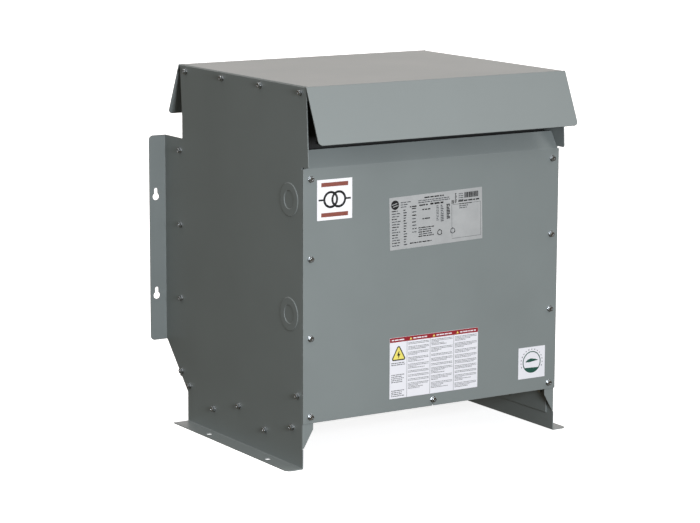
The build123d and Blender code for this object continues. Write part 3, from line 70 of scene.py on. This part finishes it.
def add_node(tree, kind, settings=None, links=None):
    """Adds a node. Settings are its own attributes; links give each input a value or an output to join."""
    node = tree.nodes.new(kind)
    for name, value in (settings or {}).items():
        setattr(node, name, value)
    for name, value in (links or {}).items():
        socket = node.inputs[name]
        if isinstance(value, bpy.types.NodeSocket):
            tree.links.new(value, socket)
        else:
            socket.default_value = value
    return node


def grain(size_mm):
    """Noise scale that gives spots of about this size."""
    return 1000.0 / size_mm


def stripes(period_mm):
    """Wave scale that gives bands of this period."""
    return 2 * math.pi / (20 * period_mm * MM)


def new_material(name):
    material = bpy.data.materials.new(name)
    material.use_nodes = True
    material.node_tree.nodes.clear()
    return material, material.node_tree


def finish_material(tree, shader):
    add_node(tree, "ShaderNodeOutputMaterial", None, {"Surface": shader.outputs["BSDF"]})


# ---------------------------------------------------------------- materials
RELIEF = 0.05 * MM  # height of a fine surface grain
POWDER_EDGE_RADIUS = 1.0 * MM
PLATED_EDGE = 0.4 * MM


def powder_coat(name, hex_code, worn_and_highlight_hex, roughness=0.5):
    """Baked polyester powder on sheet steel: a fine orange peel, and edges painted a little lighter, partly
    as rubbed wear and partly as a painted highlight.
    """
    material, tree = new_material(name)
    place = add_node(tree, "ShaderNodeTexCoord").outputs["Object"]
    cloud = add_node(tree, "ShaderNodeTexNoise", None, {"Vector": place, "Scale": grain(160), "Detail": 4.0})
    tone = add_node(tree, "ShaderNodeMapRange", None,
                    {"Value": cloud.outputs["Fac"], "From Min": 0.3, "From Max": 0.7,
                     "To Min": 0.97, "To Max": 1.03})
    body = add_node(tree, "ShaderNodeHueSaturation", None,
                    {"Color": linear(hex_code), "Value": tone.outputs["Result"]})
    soft_edge = add_node(tree, "ShaderNodeBevel", {"samples": 6}, {"Radius": POWDER_EDGE_RADIUS})
    surface = add_node(tree, "ShaderNodeNewGeometry")
    facing = add_node(tree, "ShaderNodeVectorMath", {"operation": "DOT_PRODUCT"},
                      {0: soft_edge.outputs["Normal"], 1: surface.outputs["Normal"]})
    # Edges turn toward the paler colour in patches: partly rubbed wear, partly a painted highlight along the
    # bends.
    wear_and_highlight_noise = add_node(tree, "ShaderNodeTexNoise", None,
                         {"Vector": place, "Scale": grain(9), "Detail": 6.0})
    edge = add_node(tree, "ShaderNodeMapRange", None,
                    {"Value": facing.outputs["Value"], "From Min": 0.98, "From Max": 0.8,
                     "To Min": 0.0, "To Max": 0.8})
    wear_and_highlight = add_node(tree, "ShaderNodeMath", {"operation": "MULTIPLY"},
                   {0: edge.outputs["Result"], 1: wear_and_highlight_noise.outputs["Fac"]})
    colour = add_node(tree, "ShaderNodeMix", {"data_type": "RGBA"},
                      {"Factor": wear_and_highlight.outputs["Value"], "A": body.outputs["Color"], "B": linear(worn_and_highlight_hex)})
    peel = add_node(tree, "ShaderNodeTexNoise", None, {"Vector": place, "Scale": grain(1.6), "Detail": 2.0})
    bump = add_node(tree, "ShaderNodeBump", None,
                    {"Strength": 0.12, "Distance": RELIEF, "Height": peel.outputs["Fac"],
                     "Normal": soft_edge.outputs["Normal"]})
    gloss = add_node(tree, "ShaderNodeMapRange", None,
                     {"Value": cloud.outputs["Fac"], "To Min": roughness - 0.06, "To Max": roughness + 0.06})
    shader = add_node(tree, "ShaderNodeBsdfPrincipled", None,
                      {"Base Color": colour.outputs["Result"], "Roughness": gloss.outputs["Result"],
                       "IOR": 1.5, "Normal": bump.outputs["Normal"]})
    finish_material(tree, shader)
    return material


def plated_metal(name, hex_code, dark_hex, roughness, spot_mm, bump_strength=0.1, metallic=1.0):
    """Plated, galvanised or bare metal: cloudy patches in colour and polish."""
    material, tree = new_material(name)
    place = add_node(tree, "ShaderNodeTexCoord").outputs["Object"]
    patch = add_node(tree, "ShaderNodeTexNoise", None,
                     {"Vector": place, "Scale": grain(spot_mm), "Detail": 6.0, "Roughness": 0.65})
    mix = add_node(tree, "ShaderNodeMapRange", None,
                   {"Value": patch.outputs["Fac"], "From Min": 0.35, "From Max": 0.65})
    colour = add_node(tree, "ShaderNodeMix", {"data_type": "RGBA"},
                      {"Factor": mix.outputs["Result"], "A": linear(dark_hex), "B": linear(hex_code)})
    polish = add_node(tree, "ShaderNodeMapRange", None,
                      {"Value": patch.outputs["Fac"], "To Min": roughness + 0.12, "To Max": roughness - 0.12})
    soft_edge = add_node(tree, "ShaderNodeBevel", {"samples": 4}, {"Radius": PLATED_EDGE})
    bump = add_node(tree, "ShaderNodeBump", None,
                    {"Strength": bump_strength, "Distance": RELIEF, "Height": patch.outputs["Fac"],
                     "Normal": soft_edge.outputs["Normal"]})
    shader = add_node(tree, "ShaderNodeBsdfPrincipled", None,
                      {"Base Color": colour.outputs["Result"], "Metallic": metallic,
                       "Roughness": polish.outputs["Result"], "Normal": bump.outputs["Normal"]})
    finish_material(tree, shader)
    return material


def plain_finish(name, hex_code, dark_hex, roughness, spot_mm, ior=1.5, bump_strength=0.15):
    """Moulded, printed or pressed non-metal: mottled colour over a fine grain.

    The real grain is a few tenths of a millimetre and would be lost, so it is drawn at 0.8 mm.
    """
    material, tree = new_material(name)
    place = add_node(tree, "ShaderNodeTexCoord").outputs["Object"]
    mottle = add_node(tree, "ShaderNodeTexNoise", None,
                      {"Vector": place, "Scale": grain(spot_mm), "Detail": 5.0})
    colour = add_node(tree, "ShaderNodeMix", {"data_type": "RGBA"},
                      {"Factor": mottle.outputs["Fac"], "A": linear(dark_hex), "B": linear(hex_code)})
    fine = add_node(tree, "ShaderNodeTexNoise", None, {"Vector": place, "Scale": grain(0.8), "Detail": 2.0})
    gloss = add_node(tree, "ShaderNodeMapRange", None,
                     {"Value": fine.outputs["Fac"], "To Min": roughness - 0.08, "To Max": roughness + 0.08})
    bump = add_node(tree, "ShaderNodeBump", None,
                    {"Strength": bump_strength, "Distance": RELIEF, "Height": fine.outputs["Fac"]})
    shader = add_node(tree, "ShaderNodeBsdfPrincipled", None,
                      {"Base Color": colour.outputs["Result"], "Roughness": gloss.outputs["Result"],
                       "IOR": ior, "Normal": bump.outputs["Normal"]})
    finish_material(tree, shader)
    return material


def banded(name, hex_code, dark_hex, direction, period_mm, roughness, metallic=0.0, coat=0.0, depth_mm=0.2):
    """Stacked or wound layers: parallel lines in colour and relief under varnish."""
    material, tree = new_material(name)
    place = add_node(tree, "ShaderNodeTexCoord").outputs["Object"]
    lines = add_node(tree, "ShaderNodeTexWave", {"bands_direction": direction},
                     {"Vector": place, "Scale": stripes(period_mm), "Distortion": 0.6,
                      "Detail": 2.0, "Detail Scale": 0.3})
    stain = add_node(tree, "ShaderNodeTexNoise", None, {"Vector": place, "Scale": grain(35), "Detail": 6.0})
    blend = add_node(tree, "ShaderNodeMath", {"operation": "MULTIPLY"},
                     {0: lines.outputs["Fac"], 1: stain.outputs["Fac"]})
    colour = add_node(tree, "ShaderNodeMix", {"data_type": "RGBA"},
                      {"Factor": blend.outputs["Value"], "A": linear(dark_hex), "B": linear(hex_code)})
    bump = add_node(tree, "ShaderNodeBump", None,
                    {"Strength": 0.5, "Distance": depth_mm * MM, "Height": lines.outputs["Fac"]})
    gloss = add_node(tree, "ShaderNodeMapRange", None,
                     {"Value": stain.outputs["Fac"], "To Min": roughness - 0.1, "To Max": roughness + 0.15})
    shader = add_node(tree, "ShaderNodeBsdfPrincipled", None,
                      {"Base Color": colour.outputs["Result"], "Metallic": metallic, "Coat Weight": coat,
                       "Coat Roughness": 0.25, "Roughness": gloss.outputs["Result"],
                       "Normal": bump.outputs["Normal"]})
    finish_material(tree, shader)
    return material


# Powder baked on in one coat: an even satin grey-green, paler at the bends, partly as rubbed wear and partly
# as a painted highlight.
grey_powder = powder_coat("grey_powder_coat_on_steel", "#7D8483", "#C4C9C7", roughness=0.44)
# The same in black, darker and flatter: on the clamps it is their own paint, on the vent screens it is
# painted shade, so the gaps in them read as shadow.
black_powder_and_painted_shade = powder_coat("black_powder_coat_and_painted_shade", "#1B1C1C", "#4A4A48", roughness=0.55)
# Zinc plate on screws and nuts: bright, with sharp highlights broken by small clouds.
zinc_plate = plated_metal("bright_zinc_plate", "#E6E8EA", "#9CA2A6", 0.24, 3.0)
# Dipped zinc on sheet: a dull grey spangle in patches the width of a finger.
galvanised = plated_metal("galvanised_sheet", "#A9ABA8", "#8B8E8C", 0.45, 14.0)
# Aluminium as rolled: pale and satin, with wide faint clouds.
bare_aluminium = plated_metal("mill_finish_aluminium", "#D4D5D3", "#B7B9B8", 0.38, 20.0)
# Copper left bare: warm and already a little dull.
bare_copper = plated_metal("bare_copper", "#C98A63", "#A06343", 0.35, 8.0)
# Vinyl film: smooth, even and barely glossy, in a clear white and in a cooler, duller one.
vinyl_white = plain_finish("white_vinyl_film", "#FAF9FA", "#F4F3F4", 0.38, 30.0, bump_strength=0.04)
vinyl_pale = plain_finish("pale_vinyl_film", "#ECECF0", "#E2E2E7", 0.42, 30.0, bump_strength=0.04)
# Printed foil under a clear film: a flat silver sheen that hardly mirrors.
foil_silver = plated_metal(
    "silver_printed_foil", "#C6C8C8", "#B8BABA", 0.45, 40.0, metallic=0.35, bump_strength=0.02
)
# Screen inks: thin and satin, almost one tone each; the rust one is a little blotched.
ink_black = plain_finish("black_screen_ink", "#17181A", "#101113", 0.45, 8.0, bump_strength=0.02)
ink_grey = plain_finish("grey_screen_ink", "#4A4D51", "#404347", 0.5, 8.0, bump_strength=0.02)
ink_red = plain_finish("red_screen_ink", "#99202B", "#8C1C27", 0.42, 20.0, bump_strength=0.02)
ink_rust = plain_finish("rust_screen_ink", "#9A5A4E", "#7C3F36", 0.45, 6.0, bump_strength=0.02)
ink_yellow = plain_finish("yellow_screen_ink", "#F0E37A", "#E8D965", 0.42, 10.0, bump_strength=0.02)
ink_green = plain_finish("green_screen_ink", "#24584A", "#1C483C", 0.45, 10.0, bump_strength=0.02)
# Stacked core sheets under varnish: dark and finely ruled. A real sheet is about 0.3 mm, too fine to show,
# so the lines are drawn 1.5 mm apart.
core_steel = banded(
    "varnished_core_laminations", "#4A4A4C", "#1D1D1F", "Y", 1.5, 0.45, metallic=0.6, coat=0.3
)
# Enamelled copper wire in layers under varnish: glossy brown, ruled round by its turns.
winding_hv = banded("varnished_copper_winding", "#8A4A22", "#3A1C0C", "Z", 4.0, 0.35, coat=0.6, depth_mm=0.8)
# Foil and paper wound together, under varnish: tan and brown lines. A real turn is about 1 mm, too fine
# to show, so they are drawn 3 mm apart.
winding_lv = banded("varnished_foil_winding", "#7E5A38", "#40280F", "X", 3.0, 0.4, coat=0.5, depth_mm=0.4)
# Aramid board under varnish: tan and mottled, like stiff card.
aramid_board = plain_finish("varnished_aramid_board", "#C9B687", "#A98F5B", 0.55, 12.0)
# Glass mat in red polyester: brick red, speckled by its fibres.
glass_polyester = plain_finish("red_glass_polyester", "#8E2A20", "#74201A", 0.45, 5.0)
# Woven sleeve on the leads: matt black. Its threads are too fine to show, so the mottling is drawn at 2 mm.
sleeve_black = plain_finish("black_woven_sleeve", "#1A1A1B", "#101011", 0.7, 2.0)
# Moulded rubber: black and quite matt.
rubber_black = plain_finish("moulded_black_rubber", "#1C1C1C", "#121212", 0.75, 6.0)

FINISHES = {
    grey_powder: "right_side_panel left_side_panel top_cover front_cover back_panel front_sill rear_sill"
    " right_base_rail left_base_rail",
    # Black on the vent screens is painted shade under the hoods; on the clamps it is their own paint.
    black_powder_and_painted_shade: "front_lower_clamp rear_lower_clamp front_upper_clamp rear_upper_clamp front_vent_screen"
    " rear_vent_screen",
    galvanised: "bottom_screen",
    zinc_plate: "roof_screws back_panel_screws sill_screws base_rail_screws cover_screws yoke_bolts tie_rods"
    " hex_nuts pad_bolts board_bolts lv_pad_bolts earth_screws earth_lug_set_screw tap_nuts board_standoffs",
    vinyl_white: "maker_label",
    vinyl_pale: "hazard_label approval_label",
    foil_silver: "rating_plate",
    core_steel: "lower_yoke upper_yoke core_limbs",
    aramid_board: "clamp_insulation coil_formers barrier_tubes duct_sticks phase_barriers",
    winding_lv: "lv_windings",
    winding_hv: "hv_windings",
    glass_polyester: "coil_blocks tap_boards lv_terminal_board",
    bare_aluminium: "lv_bars neutral_bus neutral_leads earth_lug",
    bare_copper: "tap_studs tap_links tap_washers line_terminals earth_strap",
    sleeve_black: "delta_leads",
    rubber_black: "isolation_pads",
}
for material, names in FINISHES.items():
    for name in names.split():
        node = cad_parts[name]
        node.data.materials.clear()
        node.data.materials.append(material)


# ---------------------------------------------------------------- prints on the stickers
class Print:
    """Flat ink shapes on one sticker, placed in millimetres from its middle, right and up."""

    LAYER_MM = 0.05  # each layer of ink stands this far in front of the last
    FILM_MM = 0.03
    DISC_SIDES = 40
    HOOP_STEPS = 48
    SHORTEST_DASH = 1.2  # times the height of its row
    LONGEST_DASH = 5.5
    DASH_GAP = 0.7

    def __init__(self, name, sticker, inks, tilt=0.0):
        low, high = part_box(sticker)
        middle = (Vector(low) + Vector(high)) / 2
        self.name = name
        self.inks = inks
        self.mesh = bmesh.new()
        self.random = random.Random(name)
        turn = Matrix.Rotation(math.radians(tilt), 4, (0, -1, 0))
        upright = Matrix.Rotation(math.radians(90), 4, "X")
        self.place = Matrix.Translation((middle.x, low[1], middle.z)) @ turn @ upright @ Matrix.Scale(MM, 4)

    def _paint(self, made, ink):
        faces = {face for vert in made["verts"] for face in vert.link_faces}
        for face in faces:
            face.material_index = self.inks.index(ink)

    def bar(self, left, foot, width, height, ink, layer=1, turn=0.0):
        """A rectangle by its lower left corner."""
        at = Matrix.Translation((left + width / 2, foot + height / 2, layer * self.LAYER_MM))
        spun = Matrix.Rotation(math.radians(turn), 4, "Z")
        size = Matrix.Diagonal((width, height, 1, 1))
        made = bmesh.ops.create_grid(
            self.mesh, x_segments=1, y_segments=1, size=0.5, matrix=self.place @ at @ spun @ size
        )
        self._paint(made, ink)

    def disc(self, x, y, radius, ink, layer=1, sides=DISC_SIDES):
        """A filled regular shape: a disc, or a triangle with three sides."""
        at = Matrix.Translation((x, y, layer * self.LAYER_MM))
        made = bmesh.ops.create_circle(
            self.mesh, cap_ends=True, segments=sides, radius=radius, matrix=self.place @ at
        )
        self._paint(made, ink)

    def hoop(self, x, y, inner, outer, ink, layer=1):
        """A ring, spun from a short edge."""
        first = self.mesh.verts.new((inner, 0, 0))
        second = self.mesh.verts.new((outer, 0, 0))
        edge = self.mesh.edges.new((first, second))
        before = set(self.mesh.verts) - {first, second}
        bmesh.ops.spin(
            self.mesh, geom=[first, second, edge], cent=(0, 0, 0), axis=(0, 0, 1),
            angle=2 * math.pi, steps=self.HOOP_STEPS, use_merge=True,
        )
        made = [vert for vert in self.mesh.verts if vert not in before]
        at = Matrix.Translation((x, y, layer * self.LAYER_MM))
        bmesh.ops.transform(self.mesh, matrix=self.place @ at, verts=made)
        self._paint({"verts": made}, ink)

    def shape(self, points, ink, layer=1):
        """A flat outline by its corners, going round to the left."""
        verts = [self.mesh.verts.new(self.place @ Vector((x, y, layer * self.LAYER_MM))) for x, y in points]
        self.mesh.faces.new(verts)
        self._paint({"verts": verts}, ink)

    def line(self, left, right, foot, height, ink, layer=1):
        """A row of word-like dashes, which say nothing."""
        x = left
        while x < right - height:
            dash = self.random.uniform(self.SHORTEST_DASH, self.LONGEST_DASH)
            width = min(height * dash, right - x)
            self.bar(x, foot, width, height, ink, layer)
            x += width + height * self.DASH_GAP

    def done(self):
        bmesh.ops.recalc_face_normals(self.mesh, faces=self.mesh.faces)
        data = bpy.data.meshes.new(self.name)
        self.mesh.to_mesh(data)
        self.mesh.free()
        for ink in self.inks:
            data.materials.append(ink)
        piece = bpy.data.objects.new(self.name, data)
        bpy.context.scene.collection.objects.link(piece)
        ink_film = piece.modifiers.new("ink_film", "SOLIDIFY")
        ink_film.thickness = self.FILM_MM * MM
        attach(piece, COVER)


# Rating plate, stuck on slightly askew: rows of dashes, a bar pattern and an empty panel.
TABLE_TOP = 23.5
TABLE_PITCH = 5.2
SKETCH_Y = -28
SKETCH_R = 5
plate = Print("rating_print", "rating_plate", [ink_black, ink_grey, foil_silver], tilt=1.5)
plate.disc(-96, 36.5, 9.2, ink_black)
for foot, shift in ((37.6, -1.5), (33.6, 1.5)):
    plate.bar(-102.5 + shift, foot, 13, 1.3, foil_silver, 2, turn=12)
for row, (left, right) in enumerate(((-83, -60), (-83, -66), (-83, -70))):
    plate.line(left, right, 39 - 4.4 * row, 1.7, ink_grey)
plate.line(-28, 18, 43.0, 2.6, ink_black)
for row in range(2):
    plate.line(-42, 32, 38.4 - 3.8 * row, 1.8, ink_grey)
plate.line(-62, -44, 28.5, 2.4, ink_black)
plate.line(-40, -20, 29.0, 2.6, ink_black)
plate.line(-14, 22, 28.9, 3.4, ink_black)
for row in range(14):
    foot = TABLE_TOP - TABLE_PITCH * row
    plate.line(-104, -90 + (row * 5) % 7, foot, 1.9, ink_grey if row % 3 else ink_black)
    plate.bar(-77, foot, 4.5 + (row * 3) % 4, 2.2, ink_grey if row % 2 else ink_black)
for row in range(8):
    plate.line(-57, -47, 24.5 - 6.6 * row, 2.0, ink_grey if row % 2 else ink_black)
for left, right, pitch, height in ((0, 5.5, 3.1, 1.5), (10, 17, 3.4, 1.9), (24, 32, 3.0, 2.1)):
    for row in range(10):
        plate.line(left, right, 24.0 - pitch * row, height, ink_black if left > 20 else ink_grey)
for foot in (20, 2):
    plate.line(-33, -14, foot, 2.3, ink_black)
for row in range(5):
    plate.line(-43 + row % 2, -6 - (row * 7) % 9, -15.0 - 4.2 * row, 2.0, ink_grey if row % 2 else ink_black)
for x, ink in ((7, ink_black), (38, ink_grey)):
    plate.hoop(x, SKETCH_Y, 4.2, 5.6, ink)
    for turn in (90, 210, 330):
        a = math.radians(turn)
        plate.disc(x + SKETCH_R * math.cos(a), SKETCH_Y + SKETCH_R * math.sin(a), 1.3, ink_black, 2)
plate.line(-63, -12, -43.0, 2.2, ink_black)
for row in range(8):
    plate.bar(44.5, 26 + 2.5 * row, 2.2 + row % 3, 1.8, ink_black)
    for left in (36.0, 39.25):
        plate.bar(left, 25.2 + 0.9 * row, 2.4 + row % 2, 0.6, ink_black)
for row in range(4):
    plate.line(53, 64, 42.5 - 4.0 * row, 1.5, ink_grey)
left, end = 67.0, 99.0
while left < end:
    width = plate.random.choice((1.0, 1.8, 2.6))
    plate.bar(left, 34.0, width, 11.0, ink_black)
    left += width + plate.random.choice((0.5, 0.7, 1.2))
plate.line(52, 102, 27.3, 2.8, ink_black)
for row in range(3):
    plate.line(54, 84 - 6 * row, 22.2 - 4.0 * row, 1.8, ink_black if row == 0 else ink_grey)
panel_edges = ((36, -40, 0.6, 62), (36, 23.0, 69, 0.6), (36, -44, 69, 0.6), (104.6, -44, 0.6, 68))
for left, foot, width, height in panel_edges:
    plate.bar(left, foot, width, height, ink_grey)
plate.done()

# Hazard sheet: four columns under a red band, a bolt in a triangle, and rows of dashes.
SHEET_LEFT, SHEET_RIGHT = -104.5, 104.5
BAND_FOOT = 51.5
TRIANGLE_X, TRIANGLE_Y = -84, 25.5
TRIANGLE_WIDER, TRIANGLE_TALLER = 1.06, 1.12
TEXT_TOP, TEXT_END = 47.0, -50.0
TEXT_PITCH = 2.6
BLOCK_GAP = 3.0
sheet = Print("hazard_print", "hazard_label", [ink_red, ink_grey, ink_yellow, ink_black, vinyl_pale])
edges = (SHEET_LEFT, -64.5, -10.0, 46.5, SHEET_RIGHT)
sheet.bar(SHEET_LEFT, BAND_FOOT, SHEET_RIGHT - SHEET_LEFT, 9.0, ink_red)
for left, right in zip(edges, edges[1:]):
    first = left == SHEET_LEFT
    sheet.line(left + (4 if first else 15), right - 5, 54.6, 2.3, vinyl_pale, 2)
    if not first:
        sheet.disc(left + 9, 55.2, 3.2, ink_yellow, 2, sides=3)
        sheet.bar(left - 0.3, -60.5, 0.7, 112, ink_grey)
for reach, corner, ink, layer in ((12.6, 3.8, ink_black, 1), (12.2, 1.7, ink_yellow, 2)):
    outline = []
    for turn in range(0, 360, 15):
        a = math.radians(turn)
        lobe = math.radians(90 + 120 * round((turn - 90) / 120))
        outline.append((
            TRIANGLE_X + reach * math.cos(lobe) * TRIANGLE_WIDER + corner * math.cos(a),
            TRIANGLE_Y + reach * math.sin(lobe) * TRIANGLE_TALLER + corner * math.sin(a),
        ))
    sheet.shape(outline, ink, layer)
bolt = [(-84.6, 17.8), (-80.0, 28.0), (-82.8, 27.4), (-82.6, 34.6), (-88.0, 24.6), (-84.8, 25.0)]
sheet.shape(bolt, ink_black, 3)
for block, rows in ((9.0, 2), (-14.5, 5), (-46.0, 4)):
    for row in range(rows):
        sheet.line(-101, -70 + sheet.random.uniform(-8, 2), block - 3.6 * row, 1.5, ink_grey)
for left, right in zip(edges[1:], edges[2:]):
    foot = TEXT_TOP
    while foot > TEXT_END:
        for row in range(sheet.random.choice((2, 3, 4, 5))):
            end = right - 3 - (sheet.random.uniform(6, 34) if row > 1 else 0)
            sheet.line(left + 3, end, foot, 1.0, ink_grey)
            foot -= TEXT_PITCH
        foot -= BLOCK_GAP
sheet.done()

# Maker's sticker: the two-ring sign for a transformer between two rust bars.
badge = Print("maker_print", "maker_label", [ink_rust, ink_black])
badge.bar(-30, 25, 60, 8, ink_rust)
for x, layer in ((-9, 1), (9, 2)):
    badge.hoop(x, 0, 12.0, 16.5, ink_black, layer)
for left in (-36, 25.2):
    badge.bar(left, -1.7, 10.8, 3.4, ink_black)
badge.bar(-30, -33, 60, 8, ink_rust)
badge.done()

# Approval sticker: a leaf over a low hill in a ring, with dashes round the top.
SEAL_Y = 1
RING_IN, RING_OUT = 20.4, 22.4
HILL_R = 20.6
DASHES = 15
DASH_R = 26.5
DASH_START, DASH_STEP = 200, 15.7
seal = Print("approval_print", "approval_label", [ink_green, ink_grey])
seal.hoop(0, SEAL_Y, RING_IN, RING_OUT, ink_green)
seal.shape([(-16, 2), (-9, 1), (0, 1.5), (9, 3), (17, 3.5), (8, 7), (-2, 8.5), (-10, 6.5)], ink_green)
hill = []
for turn in range(212, 329, 8):
    a = math.radians(turn)
    hill.append((HILL_R * math.cos(a), SEAL_Y + HILL_R * math.sin(a)))
seal.shape(hill, ink_green)
for step in range(DASHES):
    a = math.radians(DASH_START - DASH_STEP * step)
    x, y = DASH_R * math.cos(a), SEAL_Y + DASH_R * math.sin(a)
    seal.bar(x - 1.4, y - 0.7, 2.8, 1.4, ink_grey, turn=math.degrees(a) - 90)
seal.done()

# ---------------------------------------------------------------- studio
# A white table lit from below, so what stands on it throws only a faint shadow. It neither shows in the
# part's own gloss nor shades it.
FLOOR_HALF = 30.0
TABLE_GLOW = 0.78
floor_mesh = bpy.data.meshes.new("studio_floor")
floor_shape = bmesh.new()
bmesh.ops.create_grid(floor_shape, x_segments=2, y_segments=2, size=FLOOR_HALF)
floor_shape.to_mesh(floor_mesh)
floor_shape.free()
floor = bpy.data.objects.new("studio_floor", floor_mesh)
light_table, tree = new_material("white_acrylic_light_table")
table_top = add_node(tree, "ShaderNodeBsdfPrincipled", None,
                     {"Base Color": linear("#F2F2F2"), "Roughness": 0.9,
                      "Emission Color": linear("#FFFFFF"), "Emission Strength": TABLE_GLOW})
finish_material(tree, table_top)
floor.data.materials.append(light_table)
floor.visible_diffuse = False
floor.visible_glossy = False
floor.visible_shadow = False
bpy.context.scene.collection.objects.link(floor)

# The room: pale above, dark and warm below, with a soft change round the horizon.
HORIZON_LOW, HORIZON_HIGH = -0.1, 0.28
world = bpy.data.worlds.new("studio")
bpy.context.scene.world = world
world.use_nodes = True
tree = world.node_tree
tree.nodes.clear()
heading = add_node(tree, "ShaderNodeTexCoord").outputs["Generated"]
rise = add_node(tree, "ShaderNodeSeparateXYZ", None, {"Vector": heading}).outputs["Z"]
above = add_node(tree, "ShaderNodeMapRange", None,
                 {"Value": rise, "From Min": HORIZON_LOW, "From Max": HORIZON_HIGH})
room = add_node(tree, "ShaderNodeMix", {"data_type": "RGBA"},
                {"Factor": above.outputs["Result"], "A": linear("#4E4638"), "B": linear("#CBCBCA")})
backdrop = add_node(tree, "ShaderNodeBackground", None, {"Color": room.outputs["Result"], "Strength": 1.0})
add_node(tree, "ShaderNodeOutputWorld", None, {"Surface": backdrop.outputs["Background"]})


def add_lamp(light, hex_code, rotation, place=(0, 0, 0)):
    light.color = linear(hex_code)[:3]
    lamp = bpy.data.objects.new(light.name, light)
    lamp.location = place
    lamp.rotation_mode = "QUATERNION"
    lamp.rotation_quaternion = rotation
    bpy.context.scene.collection.objects.link(lamp)


def soft_sun(name, towards, strength, spread, hex_code):
    """A broad light from the direction given, the same all over the floor."""
    light = bpy.data.lights.new(name, "SUN")
    light.energy = strength
    light.angle = math.radians(spread)
    add_lamp(light, hex_code, Vector(towards).to_track_quat("Z", "Y"))


def softbox(name, place, aim, size, watts, hex_code):
    """A square diffuser near the part, so its light fades across the front."""
    light = bpy.data.lights.new(name, "AREA")
    light.energy = watts
    light.size = size
    add_lamp(light, hex_code, (Vector(aim) - Vector(place)).to_track_quat("-Z", "Y"), place)


softbox("key_light", (-0.75, -2.9, 0.85), (0.0, -0.25, 0.45), 0.7, 66.0, "#F6F9FF")
soft_sun("right_light", (0.5, -0.62, 0.6), 0.3, 16, "#FFFFFF")
soft_sun("top_light", (0.05, 0.1, 1.0), 0.85, 40, "#FFEEE8")
soft_sun("back_light", (0.5, 0.85, 0.28), 0.28, 40, "#FFF0EC")
bpy.context.scene.view_settings.view_transform = "Standard"
